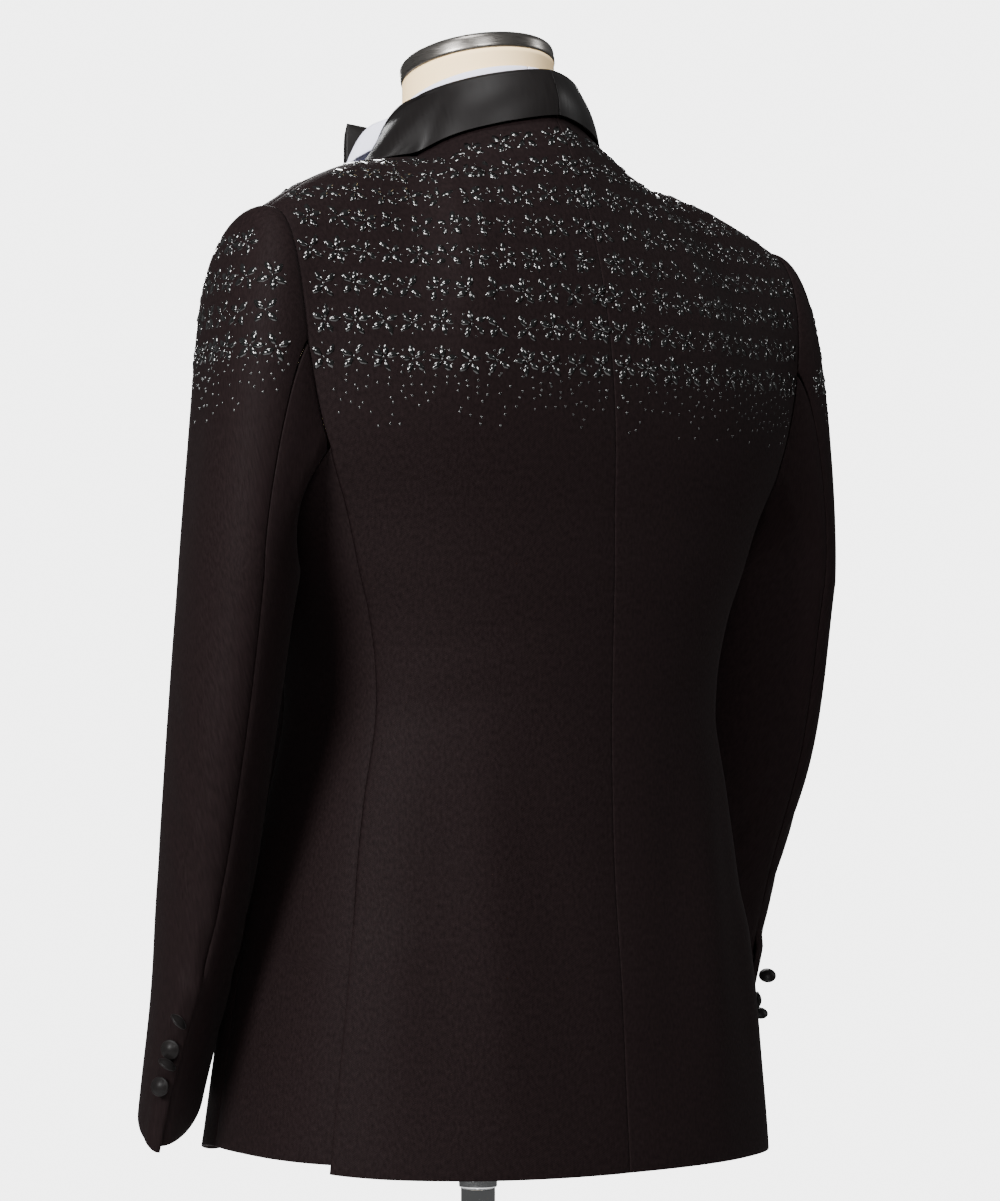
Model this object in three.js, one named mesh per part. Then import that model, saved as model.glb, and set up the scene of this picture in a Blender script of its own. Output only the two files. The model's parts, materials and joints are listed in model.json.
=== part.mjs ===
// A tuxedo jacket with a shirt front and a bow tie, on a limbless dress form with a pole and a base.
// Millimetres, +Z up. The wearer faces -Y, the wearer's left is +X, and the origin is on the floor
// under the middle of the base. Heights named "up" or z in the tables are above the jacket's hem.
import * as THREE from 'three';

// Driving dimensions
const hemHeight = 780; // floor to hem
const clothWall = 2; // jacket cloth with its canvas
const satinWall = 1.8; // collar and lapels
const shirtWall = 1.2;
const seamGap = 0.3; // between two pieces at a seam
const hemTilt = 8.5; // the jacket hangs a little skew: its left side is this much higher, its right lower
const backHemRise = 2.5; // hems of the three kinds of panel, from the hem height
const sideHemRise = 7.5;
const frontHemRise = -2;
const ventTop = 148; // the side vents open below this
const ventLap = 8; // degrees that each side panel runs on under the back in a vent
const backTop = 486; // where the side back seams meet the armholes
const frontTop = 462; // where the side front seams meet the armholes
const armholeDip = 32; // the armhole's floor lies this far below a line between those two seams
const breakUp = 352; // the lapels end here
const buttonUp = 310; // front button
const frontLap = 18; // each front passes the middle by this much
const lapDepth = 2.8; // the right front lies this far inside the left one
const backNeck = { x: 0, y: 81, z: 732 }; // neck seam at the centre back
const neckPoint = { x: 75, y: 17, z: 694 }; // neck end of the shoulder seam
const neckRound = 1.5; // the neck seam is a quarter of a superellipse of this exponent
const shoulderTip = { x: 220, y: 58, z: 646 }; // sleeve end of the shoulder seam
const shoulderRise = 11; // the shoulder seam's rise over a straight line, at its middle
const rollRadius = 3.2; // fold of the collar
const backLean = 0.12; // the collar's stand leans this far towards the neck for each millimetre up
const sideLean = 0.22; // and this far at the shoulder
const backStand = 19; // the stand's height at the centre back
const sideStand = 22; // and at the shoulder, before it grows
const standGain = 0.46; // the stand grows by this share of the neck seam's drop
const lapelStand = 4.4; // the lapel's fold to the front edge
const sleeveTopUp = 404; // the sleeve's first whole section
const sleeveClear = 3; // sleeve to body
const cuffUp = 42; // middle of the cuff
const cuffSlant = 20; // the cuff's back end is this much lower, its front end higher
const cuffVent = 0.82; // the cuff opens below this share of the sleeve's length
const cuffVentLift = 3.2; // there the top sleeve stands off the under sleeve
const cuffVentLap = 0.045; // and the under sleeve runs on beneath it, as a share of the way round
const cuffTipDrop = 4; // the top sleeve's corner hangs this much lower
const cuffButtonRadius = 6.6;
const frontButtonRadius = 10;
const frontShank = 2;
const buttonClear = 0.5; // button to cloth
const cuffButtonAcross = 0.92; // share of the top sleeve's width at which the cuff buttons sit
const neckRadius = 54;
const capTilt = THREE.MathUtils.degToRad(13); // the neck cap leans forward
const capUp = 762; // middle of the cap's underside
const capThick = 13;
const standRadius = 54.7; // shirt collar's inside
const standDeep = 36; // height of the shirt's stand
const shirtTopUp = 742; // the shirt collar's top, which is tilted with the neck
const shirtTopTilt = 19;
const bibFoot = 268; // the shirt front ends here, inside the buttoned jacket
const bibHalf = 118; // half its width
const torsoFoot = 62; // underside of the form
const torsoTop = 700; // the neck stands on it
const poleRadius = 12.2;
const ferruleRadius = 13.6;
const ferruleFoot = -27;
const baseRadius = 190;
const baseThick = 12;
const baseCollar = 14; // height of the socket that holds the pole

// The body as level rings: half is half the width, back and front are the depths from the middle, which
// lies at y = mid. The outline is a superellipse of exponent bodyRound, or of frontRound in front.
const bodyRound = 2.3;
const bodyRings = [
  { z: -20, half: 210, back: 154, front: 158, mid: 14, frontRound: 2.6 },
  { z: 0, half: 208, back: 152, front: 156, mid: 16, frontRound: 2.6 },
  { z: 60, half: 201, back: 143, front: 154, mid: 21, frontRound: 2.65 },
  { z: 120, half: 193, back: 134, front: 151, mid: 26, frontRound: 2.75 },
  { z: 205, half: 178.5, back: 120, front: 145, mid: 32, frontRound: 2.9 },
  { z: 250, half: 169, back: 115, front: 142, mid: 35, frontRound: 3 },
  { z: 311, half: 156, back: 111, front: 140, mid: 38, frontRound: 3 },
  { z: 347, half: 159, back: 111, front: 142, mid: 39, frontRound: 2.9 },
  { z: 379, half: 168.5, back: 112, front: 145, mid: 39, frontRound: 2.7 },
  { z: 405, half: 181, back: 113, front: 148, mid: 39, frontRound: 2.5 },
  { z: 445, half: 200, back: 114, front: 150, mid: 38, frontRound: 2.35 },
  { z: 486, half: 224, back: 115, front: 149, mid: 38, frontRound: 2.3 },
  { z: 540, half: 240, back: 114, front: 146, mid: 38, frontRound: 2.3 },
];

// Seams of the body by height, in degrees round the ring from the centre back.
const bodySeams = [
  { z: -20, sideBack: 65, sideFront: 103 },
  { z: 142, sideBack: 65.5, sideFront: 104 },
  { z: 330, sideBack: 70.5, sideFront: 108 },
  { z: 486, sideBack: 60.5, sideFront: 115 },
];

// Front edge by height: the distance from the centre front on the garment's own side.
const frontEdge = [
  { z: -20, x: 92 },
  { z: 0, x: 74 },
  { z: 40, x: 36 },
  { z: 90, x: 8 },
  { z: 150, x: -10 },
  { z: 220, x: -frontLap },
  { z: 318, x: -frontLap },
  { z: 352, x: 11 },
  { z: 400, x: 19 },
  { z: 462, x: 31 },
];

// Outer edge of the collar on the back panel: station 0 is the centre back, 1 the shoulder seam, and
// across and v are the panel's own shares.
const collarEdge = [
  { station: 0, across: 0, v: 0.979 },
  { station: 0.35, across: 0.15, v: 0.9772 },
  { station: 0.6, across: 0.25, v: 0.9768 },
  { station: 0.8, across: 0.335, v: 0.979 },
  { station: 1, across: 0.47, v: 1 },
];

// Width of the lapel by height.
const lapelWidths = [
  { z: 352, width: 7 },
  { z: 376, width: 38 },
  { z: 420, width: 68 },
  { z: 500, width: 78 },
  { z: 600, width: 62 },
  { z: 694, width: 32 },
];

// Sleeve sections by height: centre, half thickness, half breadth and the turn of the broad way, whose
// front end is turned inward.
const sleeveSections = [
  { z: 10, x: 219, y: -70, thin: 20, broad: 63, turn: 36 },
  { z: 52, x: 218, y: -60, thin: 22, broad: 64, turn: 36 },
  { z: 123, x: 217, y: -39, thin: 27, broad: 65, turn: 34 },
  { z: 182, x: 218, y: -22, thin: 32, broad: 67, turn: 32 },
  { z: 282, x: 223, y: 5, thin: 36, broad: 74, turn: 30 },
  { z: 404, x: 216, y: 19, thin: 41, broad: 86, turn: 30 },
];

// Where the two sleeve seams run, as shares of the way round from the shoulder tip by the back.
const sleeveSeams = [
  { along: 0, hindarm: 0.225, forearm: 0.71 },
  { along: 0.35, hindarm: 0.295, forearm: 0.68 },
  { along: 0.8, hindarm: 0.29, forearm: 0.67 },
  { along: 1, hindarm: 0.255, forearm: 0.68 },
];

// Cuff buttons: height, how far each leans from the cloth and which way in degrees, where 0 is round the
// sleeve to its back and 90 is up, and its shank. The first and the third stand on their rims.
const cuffButtons = [
  { z: 109.7, tip: 78, toward: 44, shank: 1.6 },
  { z: 89.9, tip: 18, toward: 180, shank: 2.7 },
  { z: 80.4, tip: 78, toward: 58, shank: 1.6 },
  { z: 64.1, tip: 22, toward: 165, shank: 3.2 },
];

// Each leaf of the shirt's collar by the angle from the centre back: how far its lower edge stands off
// the neck, and how deep it is.
const leafShape = [
  { angle: 0, out: 4, drop: 34 },
  { angle: 90, out: 4, drop: 34 },
  { angle: 104, out: 5, drop: 32 },
  { angle: 113, out: 5.2, drop: 26 },
  { angle: 120, out: 12, drop: 22 },
  { angle: 127, out: 31, drop: 33 },
  { angle: 135, out: 31, drop: 45 },
  { angle: 145, out: 20, drop: 50 },
  { angle: 155, out: 13, drop: 52 },
  { angle: 172, out: 8, drop: 54 },
];

// The form inside the jacket, as rings like the body's.
const torsoRings = [
  { z: 62, half: 168, back: 118, front: 118, mid: 20 },
  { z: 80, half: 177, back: 126, front: 124, mid: 21 },
  { z: 130, half: 180, back: 122, front: 126, mid: 25 },
  { z: 205, half: 166, back: 110, front: 124, mid: 30 },
  { z: 311, half: 145, back: 101, front: 120, mid: 36 },
  { z: 379, half: 156, back: 102, front: 126, mid: 37 },
  { z: 445, half: 182, back: 104, front: 128, mid: 37 },
  { z: 520, half: 182, back: 103, front: 112, mid: 37 },
  { z: 560, half: 166, back: 96, front: 92, mid: 35 },
  { z: 600, half: 128, back: 80, front: 70, mid: 28 },
  { z: 640, half: 78, back: 60, front: 54, mid: 12 },
  { z: 672, half: 52, back: 52, front: 51, mid: 1 },
  { z: 700, half: 51, back: 51, front: 51, mid: 0 },
];

const jacketCloth = { color: 0x141112, roughness: 0.85, metalness: 0 };
const blackSatin = { color: 0x0b0b0c, roughness: 0.35, metalness: 0 };
const shirtCloth = { color: 0xeceaf2, roughness: 0.8, metalness: 0 };
const formCloth = { color: 0xf2e4cd, roughness: 0.85, metalness: 0 };
const smokedMetal = { color: 0x4a4a4c, roughness: 0.3, metalness: 0.9 };
const chromeMetal = { color: 0xc9cbce, roughness: 0.12, metalness: 1 };

const tuxedo = new THREE.Group();

const lerp = THREE.MathUtils.lerp;
const clamp = THREE.MathUtils.clamp;
const rad = THREE.MathUtils.degToRad;

function ramp(from, to, value) {
  const part = clamp((value - from) / (to - from), 0, 1);
  return part * part * (3 - 2 * part);
}

// One column of a table at a place along its first column, by a cubic that passes through every row.
function readTable(rows, key, column, at) {
  let i = 0;
  while (i < rows.length - 2 && at > rows[i + 1][key]) i += 1;
  const slope = (a, b) => (rows[b][column] - rows[a][column]) / (rows[b][key] - rows[a][key]);
  const span = rows[i + 1][key] - rows[i][key];
  const here = slope(i, i + 1);
  const before = i > 0 ? (slope(i - 1, i) + here) / 2 : here;
  const after = i < rows.length - 2 ? (slope(i + 1, i + 2) + here) / 2 : here;
  const t = clamp((at - rows[i][key]) / span, 0, 1);
  const t2 = t * t;
  const t3 = t2 * t;
  return (2 * t3 - 3 * t2 + 1) * rows[i][column] + (t3 - 2 * t2 + t) * span * before
    + (3 * t2 - 2 * t3) * rows[i + 1][column] + (t3 - t2) * span * after;
}

// A curve from one point to another that leaves and arrives along two given vectors.
function hermite(start, leave, end, arrive, t) {
  const t2 = t * t;
  const t3 = t2 * t;
  return start.clone().multiplyScalar(2 * t3 - 3 * t2 + 1)
    .addScaledVector(leave, t3 - 2 * t2 + t)
    .addScaledVector(end, 3 * t2 - 2 * t3)
    .addScaledVector(arrive, t3 - t2);
}

function point(x, y, z) {
  return new THREE.Vector3(x, y, z);
}

function signedPower(value, exponent) {
  return Math.sign(value) * Math.abs(value) ** exponent;
}

// The exponent of a ring's outline, behind its middle or in front of it.
function roundAt(rings, z, behind) {
  return behind || rings[0].frontRound === undefined ? bodyRound : readTable(rings, 'z', 'frontRound', z);
}

// A point of a ring table: angle in degrees from the centre back towards the wearer's left.
function ringPoint(rings, angle, z, inset = 0) {
  const behind = Math.cos(rad(angle)) > 0;
  const half = readTable(rings, 'z', 'half', z) - inset;
  const depth = readTable(rings, 'z', behind ? 'back' : 'front', z) - inset;
  const mid = readTable(rings, 'z', 'mid', z);
  const power = 2 / roundAt(rings, z, behind);
  const x = half * signedPower(Math.sin(rad(angle)), power);
  const y = mid + depth * signedPower(Math.cos(rad(angle)), power);
  return point(x, y, z);
}

// The angle in front at which the body's ring has a given x.
function frontAngle(x, z) {
  const share = clamp(Math.abs(x) / readTable(bodyRings, 'z', 'half', z), 0, 1);
  const turn = Math.asin(share ** (roundAt(bodyRings, z, false) / 2));
  return 180 - THREE.MathUtils.radToDeg(turn) * Math.sign(x);
}

const normalStep = 0.002; // share of a surface over which its two directions are measured

// A closed wall: the outer face is the surface that is given, the inner face lies a thickness inside it.
// Its side is inwards: 1 along the cross product of the u and v directions, or -1 against it.
// Columns and rows are counts of even steps, or lists of shares.
function makeWall(surface, across, along, thickness, inwards) {
  const columns = Array.isArray(across) ? across : evenShares(across);
  const rows = Array.isArray(along) ? along : evenShares(along);
  const outer = rows.map((v) => columns.map((u) => surface(u, v)));
  const positions = [];
  const turned = [];
  rows.forEach((v) => {
    columns.forEach((u) => {
      const right = surface(Math.min(u + normalStep, 1), v).sub(surface(Math.max(u - normalStep, 0), v));
      const above = surface(u, Math.min(v + normalStep, 1)).sub(surface(u, Math.max(v - normalStep, 0)));
      turned.push(right.cross(above).normalize());
    });
  });
  outer.flat().forEach((p) => positions.push(p.x, p.y, p.z));
  outer.flat().forEach((p, k) => {
    const inner = p.clone().addScaledVector(turned[k], inwards * thickness);
    positions.push(inner.x, inner.y, inner.z);
  });
  const wide = columns.length;
  const count = wide * rows.length;
  const triangles = [];
  const quad = (a, b, c, d) => triangles.push(a, b, c, a, c, d);
  for (let j = 0; j < rows.length - 1; j += 1) {
    for (let i = 0; i < wide - 1; i += 1) {
      const a = j * wide + i;
      quad(a, a + 1, a + 1 + wide, a + wide);
      quad(count + a, count + a + wide, count + a + 1 + wide, count + a + 1);
    }
  }
  for (let i = 0; i < wide - 1; i += 1) {
    const top = (rows.length - 1) * wide + i;
    quad(i, count + i, count + i + 1, i + 1);
    quad(top, top + 1, count + top + 1, count + top);
  }
  for (let j = 0; j < rows.length - 1; j += 1) {
    const a = j * wide;
    const b = a + wide - 1;
    quad(a, a + wide, count + a + wide, count + a);
    quad(b, count + b, count + b + wide, b + wide);
  }
  return solidFrom(positions, triangles);
}

function evenShares(count) {
  return Array.from({ length: count + 1 }, (_, i) => i / count);
}

// An indexed solid whose faces are turned to point out.
function solidFrom(positions, triangles) {
  let volume = 0;
  const corner = (i) => point(positions[3 * i], positions[3 * i + 1], positions[3 * i + 2]);
  for (let t = 0; t < triangles.length; t += 3) {
    volume += corner(triangles[t]).dot(corner(triangles[t + 1]).cross(corner(triangles[t + 2])));
  }
  if (volume < 0) triangles.reverse();
  const geometry = new THREE.BufferGeometry();
  geometry.setAttribute('position', new THREE.Float32BufferAttribute(positions, 3));
  geometry.setIndex(triangles);
  geometry.computeVertexNormals();
  return geometry;
}

// A closed solid from a surface of the share round and the share along. Both its ends are closed.
function makeLoft(surface, around, along) {
  const rows = Array.isArray(along) ? along : evenShares(along);
  const positions = [];
  const triangles = [];
  rows.forEach((v) => {
    for (let i = 0; i < around; i += 1) {
      const p = surface(i / around, v);
      positions.push(p.x, p.y, p.z);
    }
  });
  for (let j = 0; j < rows.length - 1; j += 1) {
    for (let i = 0; i < around; i += 1) {
      const a = j * around + i;
      const b = j * around + (i + 1) % around;
      triangles.push(a, b, b + around, a, b + around, a + around);
    }
  }
  [0, rows.length - 1].forEach((j) => {
    const middle = point(0, 0, 0);
    for (let i = 0; i < around; i += 1) middle.add(surface(i / around, rows[j]));
    middle.divideScalar(around);
    const centre = positions.length / 3;
    positions.push(middle.x, middle.y, middle.z);
    for (let i = 0; i < around; i += 1) {
      const a = j * around + i;
      const b = j * around + (i + 1) % around;
      if (j === 0) triangles.push(centre, b, a);
      else triangles.push(centre, a, b);
    }
  });
  return solidFrom(positions, triangles);
}

function addMesh(name, geometry, look) {
  const mesh = new THREE.Mesh(geometry, new THREE.MeshStandardMaterial(look));
  mesh.name = name;
  mesh.position.z = hemHeight;
  tuxedo.add(mesh);
  return mesh;
}

// Points are worked out for the wearer's left and mirrored for the right.
function onSide(side, p) {
  return point(p.x * side, p.y, p.z);
}

const hemHalf = 208; // half the hem's width
const hemBackX = 185; // where the back's and the sides' hems end
const hemSideX = 200;

function hemAt(x, side, rise) {
  return (hemTilt * x * side) / hemHalf + rise;
}

// Neck seam from the centre back (share 0) to the neck point (share 1): a quarter of a superellipse.
function neckSeam(share) {
  const x = neckPoint.x * share;
  const y = neckPoint.y + (backNeck.y - neckPoint.y) * (1 - share ** neckRound) ** (1 / neckRound);
  const z = lerp(neckPoint.z, backNeck.z, (y - neckPoint.y) / (backNeck.y - neckPoint.y));
  return point(x, y, z);
}

// Shoulder seam from the neck point (share 0) to the tip (share 1).
function shoulderSeam(share) {
  const straight = point(
    lerp(neckPoint.x, shoulderTip.x, share),
    lerp(neckPoint.y, shoulderTip.y, share),
    lerp(neckPoint.z, shoulderTip.z, share),
  );
  straight.z += shoulderRise * Math.sin(Math.PI * share);
  return straight;
}

// Back panel of the wearer's left: u runs from the centre back seam to the side, v from the hem up. The
// rows up to backSplit lie on the body's rings. Above, each column leaves the ring upwards and leans over
// to the neck seam or the shoulder seam. In the side vent the panel stands off the side panel.
const backShoulderShare = neckPoint.x / shoulderTip.x;
const backSplit = 0.62;
const rowBend = 1.25; // crowds the columns towards the centre back
const ringStep = 8; // height over which a ring's slope is measured
const backVentLift = clothWall + 0.7;
const yokeFill = { across: 0.36, width: 0.1, depth: 90, rise: 0.25 }; // fills the hollow beside the neck

function backSurface(u, v, side = 1) {
  const seamPart = 1 - (1 - u) ** rowBend;
  if (v <= backSplit) {
    const z = lerp(hemAt(hemBackX * u, side, backHemRise), backTop, v / backSplit);
    const lift = backVentLift * ramp(ventTop + 40, ventTop + 2, z) * ramp(0.42, 0.76, u);
    return ringPoint(bodyRings, readTable(bodySeams, 'z', 'sideBack', z) * seamPart, z, -lift);
  }
  const angle = readTable(bodySeams, 'z', 'sideBack', backTop) * seamPart;
  const foot = ringPoint(bodyRings, angle, backTop);
  const leave = foot.clone().sub(ringPoint(bodyRings, angle, backTop - ringStep)).divideScalar(ringStep);
  const end = u < backShoulderShare ? neckSeam(u / backShoulderShare)
    : shoulderSeam((u - backShoulderShare) / (1 - backShoulderShare));
  const reach = foot.distanceTo(end);
  const lean = rad(lerp(38, 90, ramp(0, 0.42, u)));
  const arrive = point(0, -Math.sin(lean), Math.cos(lean)).multiplyScalar(reach * 0.9);
  const t = (v - backSplit) / (1 - backSplit);
  const away = (u - yokeFill.across) / yokeFill.width;
  const fill = yokeFill.depth * t * t * (1 - t) * Math.exp(-away * away);
  const p = hermite(foot, leave.multiplyScalar(reach * 1.05), end, arrive, t);
  return p.add(point(0, fill, yokeFill.rise * fill));
}

// Side panel: u runs from the side back seam to the side front seam, v from the hem to the armhole.
const ventShare = 0.32; // share of the rows below the top of the vent

function sideTopUp(u) {
  return lerp(backTop, frontTop, u) - armholeDip * Math.sin(Math.PI * u);
}

function sideSurface(u, v, side = 1) {
  const foot = hemAt(hemSideX, side, sideHemRise);
  const z = v < ventShare ? lerp(foot, ventTop, v / ventShare)
    : lerp(ventTop, sideTopUp(u), (v - ventShare) / (1 - ventShare));
  const from = readTable(bodySeams, 'z', 'sideBack', z) - ventLap * ramp(ventTop, ventTop - 4, z);
  const to = readTable(bodySeams, 'z', 'sideFront', z);
  return ringPoint(bodyRings, lerp(from, to, u), z);
}

// Front panel: u runs from the side front seam and the armhole to the front edge, v from the hem up.
// Where the fronts overlap, the right one lies inside the left one.
const frontSplit = 0.6;

function frontSurface(u, v, side = 1) {
  if (v <= frontSplit) {
    const rise = lerp(sideHemRise, frontHemRise, ramp(0, 0.6, u));
    const z = lerp(hemAt(hemSideX * (1 - u), side, rise), frontTop, v / frontSplit);
    const edge = frontAngle(readTable(frontEdge, 'z', 'x', z), z);
    const angle = lerp(readTable(bodySeams, 'z', 'sideFront', z), edge, u);
    const x = Math.abs(ringPoint(bodyRings, angle, z).x);
    const under = side < 0 ? lapDepth * ramp(60, 26, x) * ramp(breakUp + 22, breakUp - 4, z) : 0;
    return ringPoint(bodyRings, angle, z, under);
  }
  const edge = frontAngle(readTable(frontEdge, 'z', 'x', frontTop), frontTop);
  const angle = lerp(readTable(bodySeams, 'z', 'sideFront', frontTop), edge, u);
  const foot = ringPoint(bodyRings, angle, frontTop);
  const leave = foot.clone().sub(ringPoint(bodyRings, angle, frontTop - ringStep)).divideScalar(ringStep);
  leave.x = lerp(0.25, 0.2, u);
  const end = shoulderSeam(1 - u);
  const reach = foot.distanceTo(end);
  const climb = 0.2 * ramp(0.2, 0.7, u) * ramp(1, 0.85, u);
  const arrive = point(0, 0.95, climb).multiplyScalar(reach);
  return hermite(foot, leave.multiplyScalar(reach), end, arrive, (v - frontSplit) / (1 - frontSplit));
}

// Lengths along the front panel's rows turn a lapel's width into a share of the row.
const rowChords = 12;

function frontRowLength(v) {
  let length = 0;
  for (let i = 0; i < rowChords; i += 1) {
    length += frontSurface(i / rowChords, v).distanceTo(frontSurface((i + 1) / rowChords, v));
  }
  return length;
}

// The armhole, once round from the shoulder tip (share 0): down the back, under the arm, up the front.
const armholeBack = 0.34;
const armholeFront = 0.61;

function armhole(share) {
  const k = ((share % 1) + 1) % 1;
  if (k <= armholeBack) return backSurface(1, lerp(1, backSplit, k / armholeBack));
  if (k < armholeFront) return sideSurface((k - armholeBack) / (armholeFront - armholeBack), 1);
  return frontSurface(0, lerp(frontSplit, 1, (k - armholeFront) / (1 - armholeFront)));
}

// A point of the sleeve's section at a height, moved out by a lift.
function sleeveSection(share, z, lift = 0) {
  const angle = 2 * Math.PI * share;
  const read = (column) => readTable(sleeveSections, 'z', column, z);
  const turn = rad(read('turn'));
  const thin = (read('thin') + lift) * Math.cos(angle);
  const broad = (read('broad') + lift) * Math.sin(angle);
  const x = read('x') + Math.cos(turn) * thin + Math.sin(turn) * broad;
  const y = read('y') - Math.sin(turn) * thin + Math.cos(turn) * broad;
  return point(x, y, z);
}

// Keeps a sleeve point clear of the body by moving it straight out from the ring's middle.
const clearTop = backTop - 14; // not above this height, where the armhole starts
const bodyMiddle = 38;

function clearOfBody(p, clear) {
  if (p.z > clearTop) return p;
  const half = readTable(bodyRings, 'z', 'half', p.z) + clear;
  const depth = readTable(bodyRings, 'z', p.y > bodyMiddle ? 'back' : 'front', p.z) + clear;
  const mid = readTable(bodyRings, 'z', 'mid', p.z);
  const n = roundAt(bodyRings, p.z, p.y > mid);
  const reach = (Math.abs(p.x / half) ** n + Math.abs((p.y - mid) / depth) ** n) ** (1 / n);
  if (reach >= 1) return p;
  return point(p.x / reach, mid + (p.y - mid) / reach, p.z);
}

// Sleeve: share runs round as on the armhole, along runs from the armhole (0) to the cuff (1). Down to
// crownShare it leaves the armhole and bends over to the first section.
const crownShare = 0.35;
const crownClear = 0.6; // clearance at the armhole, which grows to sleeveClear

function sleeveSurface(share, along, lift = 0, drop = 0) {
  const angle = 2 * Math.PI * share;
  if (along >= crownShare) {
    const down = (along - crownShare) / (1 - crownShare);
    const z = lerp(sleeveTopUp, cuffUp - cuffSlant * Math.sin(angle) - drop, down);
    return clearOfBody(sleeveSection(share, z, lift), sleeveClear);
  }
  const t = along / crownShare;
  const start = armhole(share);
  start.x += seamGap + 0.5;
  const end = sleeveSection(share, sleeveTopUp);
  const reach = start.distanceTo(end);
  const leave = point(0.95, 0.25 * Math.sin(angle), 0.6 * Math.cos(angle) - 0.45).normalize();
  const arrive = point(0.03, -0.08, -1).multiplyScalar(reach * 1.15);
  const p = hermite(start, leave.multiplyScalar(reach * 0.48), end, arrive, t);
  return clearOfBody(p, Math.min(sleeveClear, crownClear + 8 * t));
}

function sleeveSeamAt(column, along) {
  return readTable(sleeveSeams, 'along', column, along);
}

// Half the gap between the two sleeve pieces, as a share of the way round.
function seamShare(along) {
  return lerp(0.0022, 0.0009, ramp(0, 0.14, along));
}

// Top sleeve: from the forearm seam round the outside to the hindarm seam. In the cuff's vent it is
// lifted off the under sleeve, and its corner hangs a little lower.
function topSleeve(u, along) {
  const from = sleeveSeamAt('forearm', along) - 1 + seamShare(along);
  const to = sleeveSeamAt('hindarm', along) - seamShare(along);
  const lift = cuffVentLift * ramp(0.8, 0.9, u) * ramp(cuffVent - 0.03, cuffVent - 0.005, along);
  return sleeveSurface(lerp(from, to, u), along, lift, cuffTipDrop * ramp(0.84, 0.98, u));
}

// Under sleeve: the rest of the way round. In the vent it runs on beneath the top sleeve.
function underSleeve(u, along) {
  const lap = cuffVentLap * ramp(cuffVent, cuffVent + 0.02, along);
  const from = sleeveSeamAt('hindarm', along) + seamShare(along) - lap;
  return sleeveSurface(lerp(from, sleeveSeamAt('forearm', along) - seamShare(along), u), along);
}

// The stand grows as the neck seam drops, so that the fold stays high round the neck.
function standAt(station) {
  return lerp(backStand, sideStand, station) + standGain * (backNeck.z - neckSeam(station).z);
}

// The collar's cross section at a station: it stands up from the neck seam, folds over and lies on the
// panels. Station 0 is the centre back, 1 the neck point and 2 the lapel's lower end.
const lapelLift = 2.8; // the collar's and the lapel's edge over the cloth
const shoulderUp = point(0.3, 0, 0.95).normalize(); // square to the shoulder seam

function collarStation(station, side) {
  if (station <= 1) {
    const seam = neckSeam(station);
    const outward = point(seam.x, seam.y, 0).normalize();
    const stand = standAt(station);
    const up = point(0, 0, 1).addScaledVector(outward, -lerp(backLean, sideLean, station)).normalize();
    const out = outward.clone().addScaledVector(up, -outward.dot(up)).normalize();
    const across = readTable(collarEdge, 'station', 'across', station);
    const v = readTable(collarEdge, 'station', 'v', station);
    const lift = surfaceNormal(backSurface, across, v, side).lerp(shoulderUp, ramp(0.7, 1, station));
    const edge = backSurface(across, v, side).addScaledVector(lift.normalize(), lapelLift);
    return { seam, up, out, stand, edge, follow: 0, v: 1, share: 0 };
  }
  const down = station - 1;
  const v = lerp(1, frontVAt(breakUp), down);
  const seam = frontSurface(1, v, side);
  const width = readTable(lapelWidths, 'z', 'width', seam.z);
  const share = width / frontRowLength(v);
  const normal = surfaceNormal(frontSurface, 1, v, side);
  const inFront = frontSurface(1, v, side).sub(frontSurface(0.97, v, side)).normalize();
  const neckOut = point(neckPoint.x, neckPoint.y, 0).normalize();
  const neckUp = point(0, 0, 1).addScaledVector(neckOut, -sideLean).normalize();
  const turned = ramp(0.08, 0.5, down);
  const up = neckUp.clone().lerp(inFront, turned).normalize();
  const out = neckOut.clone().lerp(normal, turned);
  out.addScaledVector(up, -out.dot(up)).normalize();
  const stand = lerp(standAt(1), lapelStand, ramp(0, 0.42, down));
  const lift = surfaceNormal(frontSurface, 1 - share, v, side).lerp(shoulderUp, ramp(0.15, 0, down));
  const edge = frontSurface(1 - share, v, side).addScaledVector(lift.normalize(), lapelLift);
  return { seam, up, out, stand, edge, follow: ramp(0, 0.25, down), v, share };
}

// The front panel's v at which its edge has a given height.
function frontVAt(z) {
  return (frontSplit * z) / frontTop;
}

function surfaceNormal(surface, u, v, side) {
  const step = 0.01;
  const across = surface(Math.min(u + step, 1), v, side).sub(surface(Math.max(u - step, 0), v, side));
  const along = surface(u, Math.min(v + step, 1), side).sub(surface(u, Math.max(v - step, 0), side));
  const normal = across.cross(along).normalize();
  const p = surface(u, v, side);
  const outward = point(p.x * 0.4, p.y - 20, 30);
  return normal.dot(outward) < 0 ? normal.negate() : normal;
}

const standPart = 0.22; // shares of the section taken by the stand and by the fold
const foldPart = 0.3;
const standFoot = { up: 1.4, in: 2.6 }; // the stand's lower edge above the neck seam, and inside it
const collarBelly = 2.2; // the fall behind the neck swells by this much

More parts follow.
